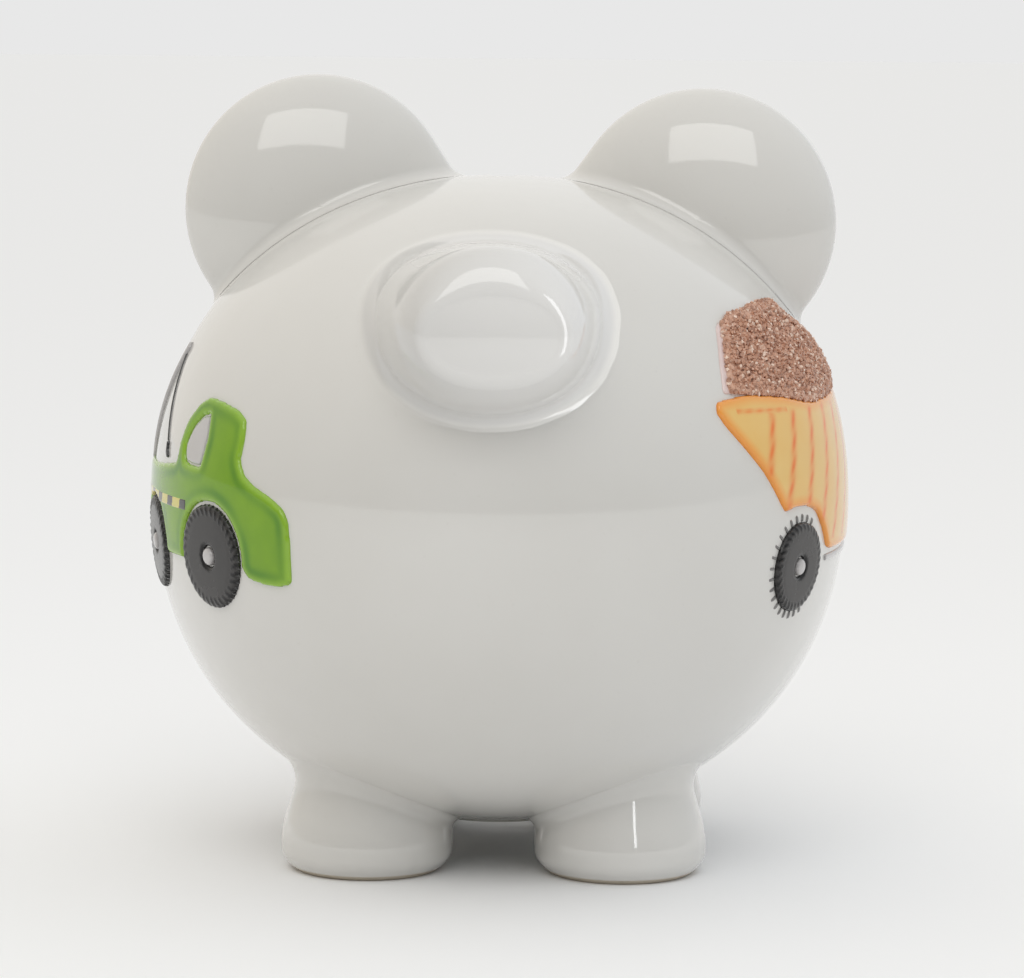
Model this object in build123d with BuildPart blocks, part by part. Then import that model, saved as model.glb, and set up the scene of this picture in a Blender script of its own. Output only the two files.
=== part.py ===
from build123d import *
import os
from math import cos, hypot, pi, radians, sin

# Glazed ceramic piggy bank. Millimetres. +Z is up, the floor is Z = 0, the pig looks towards -Y,
# and its left side is +X. The origin is on the floor, under the middle of the whole bank.
# Places on the body are given by a longitude, in degrees round the body from the tail (0) by the
# pig's left (90), and a height above or below the body's middle.

# ---- body: a rounded pot, a little longer than it is wide ----
BODY_HALF_WIDTH = 84.5
BODY_HALF_LENGTH = 89.5
BODY_HALF_HEIGHT = 78.5
BODY_FULLNESS = 2.15        # 2 is an ellipse; more than 2 is fuller
BODY_WALL = 4.5
BELLY_CLEARANCE = 9.0       # floor to the lowest point of the belly

# ---- coin slot in the crown of the head ----
SLOT_WIDTH = 4.8
SLOT_LENGTH = 40.0
SLOT_FORWARD = 16.0         # middle of the slot, in front of the middle of the body
SLOT_LIP = 1.0              # rounding of the slot's outer edge

# ---- stopper hole in the belly, and the soft stopper ----
HOLE_RADIUS = 15.0
SEAT_DEPTH = 2.6            # flat seat ground into the belly for the stopper's flange
SEAT_MARGIN = 1.0           # seat edge beyond the flange, all round
FLANGE_RADIUS = 18.5
FLANGE_THICKNESS = 2.0
PLUG_CLEARANCE = 0.05       # plug in its hole, all round
PLUG_INSIDE = 2.5           # how far the plug reaches past the wall, into the bank
PLUG_WALL = 2.5
TAB_LENGTH = 18.0
TAB_THICKNESS = 3.2
TAB_DROP = 1.6
TAB_ROUND = 1.2

# ---- ears ----
EAR_RADIUS = 32.8
EAR_REACH = 83.0            # middle of the body to the middle of an ear's round end
EAR_BEHIND = -5.0           # middle plane of the ears, behind the middle of the body
EAR_LEAN_LEFT = 32.8        # degrees from upright
EAR_LEAN_RIGHT = 36.0
EAR_TWIST = 8.0             # the outer edge of each ear is turned back by this angle
EAR_BACK_DOME = 13.0
EAR_RIM = 7.0               # width and depth of the rolled front rim
EAR_CUP_DEPTH = 9.0
EAR_CUP_KNEE = (0.6, 0.36)   # place on the cup's curve: share of the way out, share of the depth
EAR_STEM = 34.0             # straight part below the round end, most of it cut away by the body

# ---- tail: a thick round-ended stub ----
TAIL_HEIGHT = 46.2          # above the middle of the body
TAIL_ASIDE = -1.2
TAIL_RISE = 2.5             # degrees above level
TAIL_REACH = 102.0          # middle of the body to the tip
TAIL_ROOT_HALF_WIDTH = 27.0  # where the top of the stub leaves the skin
TAIL_TIP_HALF_WIDTH = 17.0
TAIL_FLATNESS = 0.72        # height over width
TAIL_TIP_ROUND = 8.0
TAIL_LENGTH = 42.0          # tip to the root inside the body

# ---- snout ----
SNOUT_REACH = 103.5         # middle of the body to the snout's face
SNOUT_BELOW = 3.0           # below the middle of the body
SNOUT_HALF_WIDTH = 25.0
SNOUT_HALF_HEIGHT = 20.5
SNOUT_ROUND = 5.0
SNOUT_LENGTH = 30.0
NOSTRIL_HALF_WIDTH = 3.6
NOSTRIL_HALF_HEIGHT = 5.4
NOSTRIL_DEPTH = 3.5
NOSTRIL_ASIDE = 8.5

# ---- feet ----
FOOT_ASIDE = 30.5
FOOT_BACK = 27.0            # rear feet, behind the middle of the body
FOOT_FORWARD = 32.0         # front feet, in front of the middle of the body
FOOT_RING_RADIUS = 17.5     # unglazed ring that stands on the floor
FOOT_BEVEL = 1.3
FOOT_BULGE_RADIUS = 20.7
FOOT_BULGE_HEIGHT = 6.5
FOOT_WAIST_RADIUS = 17.3
FOOT_WAIST_HEIGHT = 22.0
FOOT_TOP = 36.0             # inside the body, so that the foot is cut to the belly
FOOT_RECESS_RADIUS = 12.0
FOOT_RECESS_DEPTH = 2.0

# ---- eyes ----
EYE_HALF_WIDTH = 3.4
EYE_HALF_HEIGHT = 5.0
EYE_LONGITUDE = 162.0
EYE_HEIGHT = 25.0

# ---- relief decoration: how far each piece stands out of the skin ----
PAINT_RELIEF = 0.5
TRUCK_RELIEF = 0.9
TYRE_RELIEF = 1.1
HUB_RELIEF = 1.4
LOAD_RELIEF = 2.2
CORNER_ROUND = 1.2
DISC_SIDES = 20             # small round outlines are many-sided
TYRE_GAP = 0.6              # tyre to wheel arch
WIDE_TYRE_GAP = 2.4         # the same on the dump truck

# ---- crane truck, on the pig's left flank; wheel centres are (longitude, height) ----
CRANE_FACING = 62.0         # longitude that the outlines are drawn square to
CRANE_TYRE_RADIUS = 12.2
CRANE_HUB_RADIUS = 2.9
CRANE_REAR_WHEEL = (51.3, -8.7)
CRANE_FRONT_WHEEL = (75.5, -9.0)
CRANE_NOSE = 92.0           # longitude of the truck's front end
DECK_HEIGHT = 11.5
BOOM_HALF_WIDTH = 1.3
CABLE_HALF_WIDTH = 0.5
HOOK_RADIUS = 2.0
SILL_BELOW_HUB = 2.0
STRIPE_LOW = 0.8
STRIPE_HIGH = 4.1
STRIPE_START = 57.8         # longitudes
STRIPE_END = 90.0

# ---- dump truck, on the pig's right flank ----
DUMP_FACING = -80.0
DUMP_TYRE_RADIUS = 10.7
DUMP_HUB_RADIUS = 2.3
DUMP_REAR_WHEEL = (-58.2, -10.6)
DUMP_FRONT_WHEEL = (-106.0, -10.6)
BED_TOP = 28.5
CHASSIS_TOP = -8.5
CHASSIS_BOTTOM = -12.0

# ---- sizes that follow from the ones above ----
BODY_UP = BELLY_CLEARANCE + BODY_HALF_HEIGHT
BODY_BACK = (SNOUT_REACH - TAIL_REACH) / 2      # the bank's two ends are equally far from Y = 0
MIDDLE = Vector(0, BODY_BACK, BODY_UP)
SEAT_UP = BELLY_CLEARANCE + SEAT_DEPTH
BEYOND = BODY_HALF_LENGTH + 30.0                # cutting shapes run past the skin


# =============================== the body's form ===============================

def body_radius(height):
    """Half width of the body at a height above or below its middle."""
    share = 1 - (abs(height) / BODY_HALF_HEIGHT) ** BODY_FULLNESS
    return BODY_HALF_WIDTH * share ** (1 / BODY_FULLNESS)


def skin_point(longitude, height):
    """Point of the skin at a longitude and a height."""
    radius = body_radius(height)
    turn = radians(longitude)
    stretch = BODY_HALF_LENGTH / BODY_HALF_WIDTH
    return MIDDLE + Vector(radius * sin(turn), stretch * radius * cos(turn), height)


def egg(margin):
    """The body's rounded solid form, grown outwards by a margin, or inwards if it is negative."""
    half_width = BODY_HALF_WIDTH + margin
    half_height = BODY_HALF_HEIGHT + margin
    power = 2 / BODY_FULLNESS
    steps = 6
    turns = [pi / 2 * step / steps for step in range(steps)]
    upper = [(-half_width * cos(turn) ** power, half_height * sin(turn) ** power) for turn in turns]
    upper.append((0, half_height))
    lower = [(x, -z) for x, z in reversed(upper)]
    with BuildPart() as form:
        with BuildSketch(Plane.YZ):
            with BuildLine():
                Spline(*lower, *upper[1:], tangents=[(-1, 0), (1, 0)])
                Line((0, half_height), (0, -half_height))
            make_face()
        revolve(axis=Axis.Z)
        scale(by=(1, (BODY_HALF_LENGTH + margin) / half_width, 1))
    return form.part.moved(Location(MIDDLE))


BODY_FORM = egg(0)
BODY_HOLLOW = egg(-BODY_WALL)


# =============================== where the luted pieces sit ===============================

def ear_frame(side, lean):
    """Plane of an ear: its local Z points out of the ear's back, its local Y away from the body."""
    across = Vector(-cos(radians(lean)), 0, side * sin(radians(lean)))
    outwards = Vector(side * sin(radians(lean)), 0, cos(radians(lean)))
    turned = across * cos(radians(EAR_TWIST)) - Vector(0, side, 0) * sin(radians(EAR_TWIST))
    middle = MIDDLE + Vector(0, EAR_BEHIND, 0) + outwards * EAR_REACH
    return Plane(middle, x_dir=turned, z_dir=turned.cross(outwards))


def tail_frame():
    """Plane at the tail's tip: its local Z points back along the tail's axis."""
    axis = Vector(0, cos(radians(TAIL_RISE)), sin(radians(TAIL_RISE)))
    run = TAIL_REACH / axis.Y
    tip = MIDDLE + Vector(TAIL_ASIDE, 0, TAIL_HEIGHT - BODY_HALF_LENGTH * axis.Z) + axis * run
    return Plane(tip, x_dir=(1, 0, 0), z_dir=axis)


EAR_FRAMES = {"left": ear_frame(1, EAR_LEAN_LEFT), "right": ear_frame(-1, EAR_LEAN_RIGHT)}
TAIL_FRAME = tail_frame()
SNOUT_FRAME = Plane(MIDDLE + Vector(0, -SNOUT_REACH, -SNOUT_BELOW), x_dir=(1, 0, 0), z_dir=(0, -1, 0))
FOOT_PLACES = {
    "rear_left": (FOOT_ASIDE, BODY_BACK + FOOT_BACK),
    "rear_right": (-FOOT_ASIDE, BODY_BACK + FOOT_BACK),
    "front_left": (FOOT_ASIDE, BODY_BACK - FOOT_FORWARD),
    "front_right": (-FOOT_ASIDE, BODY_BACK - FOOT_FORWARD),
}


# =============================== body and stopper ===============================

def body_shell():
    """The hollow pot, with its coin slot, its stopper hole and the seat round that hole."""
    with BuildPart() as pot:
        add(BODY_FORM)
        with BuildSketch(Plane.XY.offset(SEAT_UP)):
            with Locations((0, BODY_BACK)):
                Circle(FLANGE_RADIUS + SEAT_MARGIN)
        extrude(amount=-SEAT_UP, mode=Mode.SUBTRACT)
        add(BODY_HOLLOW, mode=Mode.SUBTRACT)
        with BuildSketch(Plane.XY):
            with Locations((0, BODY_BACK)):
                Circle(HOLE_RADIUS)
        extrude(amount=BODY_UP, mode=Mode.SUBTRACT)
        with BuildSketch(Plane.XY.offset(BODY_UP)):
            with Locations((0, BODY_BACK - SLOT_FORWARD)):
                SlotOverall(SLOT_LENGTH, SLOT_WIDTH, rotation=90)
        extrude(amount=BEYOND, mode=Mode.SUBTRACT)
        lips = pot.edges().filter_by(lambda edge: edge.center().Z > BODY_UP)
        fillet(outermost(lips.filter_by(GeomType.BSPLINE)), SLOT_LIP)
    return pot


def outermost(edges):
    """Of the edges on both faces of a wall, those on the outer one."""
    def height_over_form(edge):
        spot = edge.center() - MIDDLE
        reach = hypot(spot.X / BODY_HALF_WIDTH, spot.Y / BODY_HALF_LENGTH)
        return reach ** BODY_FULLNESS + (spot.Z / BODY_HALF_HEIGHT) ** BODY_FULLNESS

    halfway = (1 - BODY_WALL / 2 / BODY_HALF_HEIGHT) ** BODY_FULLNESS
    return edges.filter_by(lambda edge: height_over_form(edge) > halfway)


def stopper():
    """Soft plug: a flange on the seat, a hollow plug in the hole and a tab to pull it by."""
    plug_radius = HOLE_RADIUS - PLUG_CLEARANCE
    plug_top = BELLY_CLEARANCE + BODY_WALL + PLUG_INSIDE
    with BuildPart() as plug:
        with BuildSketch(Plane.XY.offset(SEAT_UP - FLANGE_THICKNESS)):
            with Locations((0, BODY_BACK)):
                Circle(FLANGE_RADIUS)
        extrude(amount=FLANGE_THICKNESS)
        with BuildSketch(Plane.XY.offset(SEAT_UP)):
            with Locations((0, BODY_BACK)):
                Circle(plug_radius)
        extrude(amount=plug_top - SEAT_UP)
        with BuildSketch(Plane.XY.offset(plug_top)):
            with Locations((0, BODY_BACK)):
                Circle(plug_radius - PLUG_WALL)
        extrude(amount=SEAT_UP - plug_top, mode=Mode.SUBTRACT)
        with BuildSketch(Plane.XY.offset(SEAT_UP - FLANGE_THICKNESS)):
            with Locations((0, BODY_BACK)):
                RectangleRounded(TAB_THICKNESS, TAB_LENGTH, TAB_ROUND)
        extrude(amount=-TAB_DROP)
    return plug


# =============================== ears, tail, snout, feet ===============================

def ear_section(whole):
    """Section through an ear: domed back, rolled rim and cupped front. Half of it, or the whole."""
    lip = EAR_RADIUS - EAR_RIM
    cup_floor = EAR_CUP_DEPTH - EAR_RIM
    knee = (lip * EAR_CUP_KNEE[0], cup_floor - EAR_CUP_DEPTH * EAR_CUP_KNEE[1])
    with BuildSketch(Plane.XZ) as section:
        with BuildLine():
            EllipticalCenterArc((0, 0), EAR_RADIUS, EAR_BACK_DOME, start_angle=0, arc_size=90)
            RadiusArc((EAR_RADIUS, 0), (lip, -EAR_RIM), EAR_RIM)
            ThreePointArc((lip, -EAR_RIM), knee, (0, cup_floor))
            Line((0, cup_floor), (0, EAR_BACK_DOME))
        make_face()
        if whole:
            mirror(about=Plane.YZ)
    return section.sketch


def ear(frame):
    """One cupped ear: a round end on a straight stem, cut to the body."""
    with BuildPart() as form:
        add(ear_section(whole=False))
        revolve(axis=Axis.Z, revolution_arc=180)
        add(ear_section(whole=True))
        extrude(amount=EAR_STEM, dir=(0, -1, 0))
    with BuildPart() as piece:
        add(form.part.moved(frame.location))
        add(BODY_FORM, mode=Mode.SUBTRACT)
    return piece


def tail():
    """The tail: a round-ended taper, flatter than it is wide, cut to the body."""
    stub = TAIL_FRAME.origin.Y - skin_point(0, TAIL_HEIGHT).Y
    slope = (TAIL_ROOT_HALF_WIDTH - TAIL_TIP_HALF_WIDTH) / stub
    with BuildPart() as form:
        with BuildSketch(Plane.XZ):
            with BuildLine():
                Polyline((0, 0), (TAIL_TIP_HALF_WIDTH, 0),
                         (TAIL_TIP_HALF_WIDTH + slope * TAIL_LENGTH, -TAIL_LENGTH),
                         (0, -TAIL_LENGTH), close=True)
            make_face()
        revolve(axis=Axis.Z)
        fillet(form.edges().sort_by(Axis.Z)[-1], TAIL_TIP_ROUND)
        scale(by=(1, TAIL_FLATNESS, 1))
    with BuildPart() as piece:
        add(form.part.moved(TAIL_FRAME.location))
        add(BODY_FORM, mode=Mode.SUBTRACT)
    return piece


def snout():
    """The snout: a thick oval button with two nostrils, cut to the body."""
    with BuildPart() as piece:
        with BuildSketch(SNOUT_FRAME):
            Ellipse(SNOUT_HALF_WIDTH, SNOUT_HALF_HEIGHT)
        extrude(amount=-SNOUT_LENGTH)
        fillet(piece.edges().sort_by(Axis.Y)[0], SNOUT_ROUND)
        with BuildSketch(SNOUT_FRAME):
            with Locations((-NOSTRIL_ASIDE, 0), (NOSTRIL_ASIDE, 0)):
                Ellipse(NOSTRIL_HALF_WIDTH, NOSTRIL_HALF_HEIGHT)
        extrude(amount=-NOSTRIL_DEPTH, mode=Mode.SUBTRACT)
        add(BODY_FORM, mode=Mode.SUBTRACT)
    return piece


def foot(aside, back):
    """One foot: a bulging stump on an unglazed ring, cut to the belly."""
    with BuildPart() as form:
        with BuildSketch(Plane.XZ):
            with BuildLine():
                Polyline((FOOT_WAIST_RADIUS, FOOT_WAIST_HEIGHT), (FOOT_WAIST_RADIUS, FOOT_TOP),
                         (0, FOOT_TOP), (0, FOOT_RECESS_DEPTH), (FOOT_RECESS_RADIUS, FOOT_RECESS_DEPTH),
                         (FOOT_RECESS_RADIUS, 0), (FOOT_RING_RADIUS, 0),
                         (FOOT_RING_RADIUS + FOOT_BEVEL, FOOT_BEVEL))
                Spline((FOOT_RING_RADIUS + FOOT_BEVEL, FOOT_BEVEL), (FOOT_BULGE_RADIUS, FOOT_BULGE_HEIGHT),
                       (FOOT_WAIST_RADIUS, FOOT_WAIST_HEIGHT), tangents=[(1, 1), (0, 1)])
            make_face()
        revolve(axis=Axis.Z)
    with BuildPart() as piece:
        add(form.part.moved(Location((aside, back, 0))))
        add(BODY_FORM, mode=Mode.SUBTRACT)
    return piece


# =============================== relief decoration ===============================

RELIEF_FORMS = {
    relief: egg(relief)
    for relief in (PAINT_RELIEF, TRUCK_RELIEF, TYRE_RELIEF, HUB_RELIEF, LOAD_RELIEF)
}


def art_frame(facing):
    """Upright plane through the body's middle that faces a longitude."""
    return Plane(MIDDLE, x_dir=(-cos(radians(facing)), sin(radians(facing)), 0),
                 z_dir=(sin(radians(facing)), cos(radians(facing)), 0))


def on_frame(frame, places):
    """Places on the skin, (longitude, height) each, as points of an upright plane."""
    points = [frame.to_local_coords(skin_point(*place)) for place in places]
    return [(point.X, point.Y) for point in points]


def outline(frame, places, corner_round=CORNER_ROUND):
    """Closed outline with rounded corners through places of the skin."""
    with BuildSketch() as shape:
        with BuildLine():
            Polyline(*on_frame(frame, places), close=True)
        make_face()
        if corner_round:
            fillet(shape.vertices(), corner_round)
    return shape.sketch


def band(frame, start, end, half_width):
    """Straight narrow band between two places of the skin."""
    with BuildSketch() as shape:
        with BuildLine():
            Line(*on_frame(frame, (start, end)))
        trace(line_width=2 * half_width)
    return shape.sketch


def disc(frame, place, radius):
    """Round outline about a place of the skin."""
    with BuildSketch() as shape:
        with Locations(*on_frame(frame, [place])):
            RegularPolygon(radius, DISC_SIDES)
    return shape.sketch


def relief_piece(frame, shapes, relief, cut_out=()):
    """Piece of relief: what stands out of the skin behind some outlines, less the cut-out ones."""
    with BuildPart() as piece:
        with BuildSketch(frame):
            for shape in shapes:
                add(shape)
            for shape in cut_out:
                add(shape, mode=Mode.SUBTRACT)
        extrude(amount=BEYOND)
        add(RELIEF_FORMS[relief], mode=Mode.INTERSECT)
        add(BODY_FORM, mode=Mode.SUBTRACT)
    return piece


def wheels(frame, truck, centres, tyre_radius, hub_radius):
    """The tyres and hubs of a truck, each in its own node."""
    pieces = {}
    for name, centre in centres.items():
        tyre = disc(frame, centre, tyre_radius)
        hub = disc(frame, centre, hub_radius)
        pieces[f"{truck}_{name}_tyre"] = relief_piece(frame, [tyre], TYRE_RELIEF, [hub])
        pieces[f"{truck}_{name}_hub"] = relief_piece(frame, [hub], HUB_RELIEF)
    return pieces


def crane_truck():
    """Crane truck, its cab towards the tail and its boom towards the head."""
    frame = art_frame(CRANE_FACING)
    arches = [disc(frame, centre, CRANE_TYRE_RADIUS + TYRE_GAP)
              for centre in (CRANE_REAR_WHEEL, CRANE_FRONT_WHEEL)]
    sill = CRANE_REAR_WHEEL[1] - SILL_BELOW_HUB
    body = outline(frame, [
        (CRANE_NOSE, DECK_HEIGHT - 2.0), (62.6, DECK_HEIGHT), (61.8, 20.5), (57.6, 27.0), (53.4, 27.9),
        (44.8, 25.0), (43.4, 20.5), (43.8, 12.5), (40.3, 9.2), (33.4, 4.0), (32.7, -12.8),
        (41.4, -12.8), CRANE_REAR_WHEEL, (62.0, sill), (66.0, sill), CRANE_FRONT_WHEEL, (87.0, sill),
        (CRANE_NOSE, sill + 4.0),
    ])
    window = outline(frame, [(59.8, 12.4), (60.2, 17.5), (56.2, 23.4), (53.7, 23.9), (54.4, 12.0)])
    stripe = outline(frame, [(STRIPE_START, STRIPE_LOW), (STRIPE_START, STRIPE_HIGH),
                             (STRIPE_END, STRIPE_HIGH), (STRIPE_END, STRIPE_LOW)], corner_round=0)
    boom = band(frame, (87.0, DECK_HEIGHT), (76.5, 38.0), BOOM_HALF_WIDTH)
    cable = band(frame, (75.4, 33.5), (69.2, 16.0), CABLE_HALF_WIDTH)
    hook = disc(frame, (69.0, 14.2), HOOK_RADIUS)
    pieces = {
        "crane_body": relief_piece(frame, [body], TRUCK_RELIEF, [window, stripe, *arches]),
        "crane_window": relief_piece(frame, [window], PAINT_RELIEF),
        "crane_stripe": relief_piece(frame, [stripe], TRUCK_RELIEF, arches),
        "crane_boom": relief_piece(frame, [boom], TRUCK_RELIEF, [body]),
        "crane_cable_and_hook": relief_piece(frame, [cable, hook], PAINT_RELIEF, [body, boom]),
    }
    centres = {"rear": CRANE_REAR_WHEEL, "front": CRANE_FRONT_WHEEL}
    return pieces | wheels(frame, "crane", centres, CRANE_TYRE_RADIUS, CRANE_HUB_RADIUS)


def dump_truck():
    """Dump truck, its tipping bed towards the tail and its cab towards the head."""
    frame = art_frame(DUMP_FACING)
    arches = [disc(frame, centre, DUMP_TYRE_RADIUS + WIDE_TYRE_GAP)
              for centre in (DUMP_REAR_WHEEL, DUMP_FRONT_WHEEL)]
    bed = outline(frame, [
        (-40.0, 29.0), (-39.8, 25.5), (-53.6, 2.8), (-63.0, 2.6), (-68.4, CHASSIS_TOP),
        (-91.0, CHASSIS_TOP), (-97.0, BED_TOP), (-66.0, BED_TOP - 0.8), (-57.0, BED_TOP + 0.6),
    ])
    load = outline(frame, [
        (-43.4, 30.4), (-48.2, 46.6), (-52.0, 48.6), (-60.6, 49.6), (-71.5, 49.8), (-77.5, 44.8),
        (-87.0, 40.5), (-94.5, BED_TOP), (-66.0, BED_TOP - 0.8), (-57.0, BED_TOP + 0.6),
    ])
    cab = outline(frame, [
        (-95.5, CHASSIS_TOP), (-98.5, 21.0), (-108.0, 21.0), (-112.0, 8.5), (-118.0, 6.0),
        (-118.5, CHASSIS_TOP),
    ])
    window = outline(frame, [(-101.0, 9.0), (-101.8, 18.0), (-107.0, 18.0), (-109.6, 9.0)])
    chassis = outline(frame, [(-66.0, CHASSIS_BOTTOM), (-66.0, CHASSIS_TOP),
                              (-120.0, CHASSIS_TOP), (-120.0, CHASSIS_BOTTOM)], corner_round=0)
    pieces = {
        "dump_bed": relief_piece(frame, [bed], TRUCK_RELIEF, arches),
        "dump_load": relief_piece(frame, [load], LOAD_RELIEF, [bed]),
        "dump_cab": relief_piece(frame, [cab], TRUCK_RELIEF, [window, *arches]),
        "dump_window": relief_piece(frame, [window], PAINT_RELIEF),
        "dump_chassis": relief_piece(frame, [chassis], PAINT_RELIEF, [bed, cab, *arches]),
    }
    centres = {"rear": DUMP_REAR_WHEEL, "front": DUMP_FRONT_WHEEL}
    return pieces | wheels(frame, "dump", centres, DUMP_TYRE_RADIUS, DUMP_HUB_RADIUS)


def eye(longitude):
    """One oval eye."""
    frame = art_frame(longitude)
    with BuildSketch() as shape:
        with Locations(*on_frame(frame, [(longitude, EYE_HEIGHT)])):
            Ellipse(EYE_HALF_WIDTH, EYE_HALF_HEIGHT)
    return relief_piece(frame, [shape.sketch], PAINT_RELIEF)


# =============================== the whole bank ===============================

pieces = {"body_shell": body_shell(), "stopper": stopper(), "tail": tail(), "snout": snout()}
for side, frame in EAR_FRAMES.items():
    pieces[f"ear_{side}"] = ear(frame)
for place, (aside, back) in FOOT_PLACES.items():
    pieces[f"foot_{place}"] = foot(aside, back)
pieces["eye_left"] = eye(EYE_LONGITUDE)
pieces["eye_right"] = eye(-EYE_LONGITUDE)
pieces |= crane_truck()
pieces |= dump_truck()

os.makedirs("parts", exist_ok=True)
for label, piece in pieces.items():
    piece.part.label = label
    export_step(piece.part, f"parts/{label}.step")
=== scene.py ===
"""Glazed piggy bank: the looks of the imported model, in metres, in the frame of the CAD part."""

import logging
from collections.abc import Callable
from dataclasses import dataclass, field
from enum import Enum

import bmesh
import bpy
import numpy as np
from mathutils import Matrix, Vector


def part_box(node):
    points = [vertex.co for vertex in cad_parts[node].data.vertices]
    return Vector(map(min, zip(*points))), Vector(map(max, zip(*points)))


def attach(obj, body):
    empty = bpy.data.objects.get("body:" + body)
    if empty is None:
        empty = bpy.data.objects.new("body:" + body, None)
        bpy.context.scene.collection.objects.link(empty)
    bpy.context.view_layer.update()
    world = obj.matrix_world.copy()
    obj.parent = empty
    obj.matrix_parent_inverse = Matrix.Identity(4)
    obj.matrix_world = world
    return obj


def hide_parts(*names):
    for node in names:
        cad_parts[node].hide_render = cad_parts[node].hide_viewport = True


log = logging.getLogger("piggy_bank")
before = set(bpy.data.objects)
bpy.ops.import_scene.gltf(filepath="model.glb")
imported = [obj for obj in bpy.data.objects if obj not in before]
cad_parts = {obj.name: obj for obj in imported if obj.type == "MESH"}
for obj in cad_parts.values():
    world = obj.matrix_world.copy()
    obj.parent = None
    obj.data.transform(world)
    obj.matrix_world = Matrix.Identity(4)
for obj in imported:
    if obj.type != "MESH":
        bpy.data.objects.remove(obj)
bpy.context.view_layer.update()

BANK = "bank"                 # the body that everything but the stopper rides on
Colour = tuple[float, float, float, float]
Place = tuple[float, float]   # longitude in degrees, height above the middle in millimetres
Pattern = Callable[[np.ndarray, np.ndarray], np.ndarray]   # of skin places and distances inside an outline
Surface = Callable[[np.ndarray], np.ndarray]               # of a depth for each column
Shading = Callable[[np.ndarray, np.ndarray], np.ndarray]   # of points and their normals


# ============================ colours and finishes ============================

class Flank(Enum):
    """Side of the pig: the sign of its longitudes and of X."""

    LEFT = 1
    RIGHT = -1


def linear(red: int, green: int, blue: int) -> Colour:
    """Turn an 8-bit display colour into a linear one.

    Formula: each channel c in 0..1 becomes c / 12.92 below 0.04045, else ((c + 0.055) / 1.055) ** 2.4.

    Args:
        red: red, 0 to 255.
        green: green, 0 to 255.
        blue: blue, 0 to 255.

    Returns:
        Red, green, blue and an alpha of 1.
    """
    channels = [c / 255 for c in (red, green, blue)]
    levels = [c / 12.92 if c < 0.04045 else ((c + 0.055) / 1.055) ** 2.4 for c in channels]
    return (*levels, 1.0)


class Mottle:
    """Shared node group: slow cloudy colour change, fine flecks and a faint waviness of the surface."""

    NAME = "mottle"

    @classmethod
    def tree(cls) -> bpy.types.NodeTree:
        """Build the group once.

        Returns:
            The group, with inputs Light, Dark, Cloud Scale, Fleck Scale, Fleck Share, Rough Low,
            Rough High, Wave Scale and Wave Height, and outputs Color, Roughness and Normal.
        """
        if cls.NAME in bpy.data.node_groups:
            return bpy.data.node_groups[cls.NAME]
        tree = bpy.data.node_groups.new(cls.NAME, "ShaderNodeTree")
        for name, kind, value in (
            ("Light", "NodeSocketColor", (1, 1, 1, 1)), ("Dark", "NodeSocketColor", (0.8, 0.8, 0.8, 1)),
            ("Cloud Scale", "NodeSocketFloat", 20.0), ("Fleck Scale", "NodeSocketFloat", 600.0),
            ("Fleck Share", "NodeSocketFloat", 0.1), ("Rough Low", "NodeSocketFloat", 0.05),
            ("Rough High", "NodeSocketFloat", 0.1), ("Wave Scale", "NodeSocketFloat", 60.0),
            ("Wave Height", "NodeSocketFloat", 0.1),
        ):
            socket = tree.interface.new_socket(name, in_out="INPUT", socket_type=kind)
            socket.default_value = value
        for name, kind in (("Color", "NodeSocketColor"), ("Roughness", "NodeSocketFloat"),
                           ("Normal", "NodeSocketVector")):
            tree.interface.new_socket(name, in_out="OUTPUT", socket_type=kind)
        make, link = tree.nodes.new, tree.links.new
        given, result = make("NodeGroupInput"), make("NodeGroupOutput")
        place = make("ShaderNodeTexCoord")
        cloud, fleck, wave = (make("ShaderNodeTexNoise") for _ in range(3))
        for noise, scale, detail in ((cloud, "Cloud Scale", 3.0), (fleck, "Fleck Scale", 1.0),
                                     (wave, "Wave Scale", 2.0)):
            noise.inputs["Detail"].default_value = detail
            link(place.outputs["Object"], noise.inputs["Vector"])
            link(given.outputs[scale], noise.inputs["Scale"])
        tone = make("ShaderNodeMix")
        tone.data_type = "RGBA"
        link(cloud.outputs["Fac"], tone.inputs["Factor"])
        link(given.outputs["Light"], tone.inputs["A"])
        link(given.outputs["Dark"], tone.inputs["B"])
        spots = make("ShaderNodeMapRange")
        spots.inputs["From Min"].default_value = 0.72
        spots.inputs["From Max"].default_value = 0.80
        link(fleck.outputs["Fac"], spots.inputs["Value"])
        link(given.outputs["Fleck Share"], spots.inputs["To Max"])
        flecked = make("ShaderNodeMix")
        flecked.data_type = "RGBA"
        link(spots.outputs["Result"], flecked.inputs["Factor"])
        link(tone.outputs["Result"], flecked.inputs["A"])
        link(given.outputs["Dark"], flecked.inputs["B"])
        rough = make("ShaderNodeMapRange")
        link(cloud.outputs["Fac"], rough.inputs["Value"])
        link(given.outputs["Rough Low"], rough.inputs["To Min"])
        link(given.outputs["Rough High"], rough.inputs["To Max"])
        bump = make("ShaderNodeBump")
        bump.inputs["Distance"].default_value = 0.001
        link(wave.outputs["Fac"], bump.inputs["Height"])
        link(given.outputs["Wave Height"], bump.inputs["Strength"])
        link(flecked.outputs["Result"], result.inputs["Color"])
        link(rough.outputs["Result"], result.inputs["Roughness"])
        link(bump.outputs["Normal"], result.inputs["Normal"])
        return tree


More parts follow.
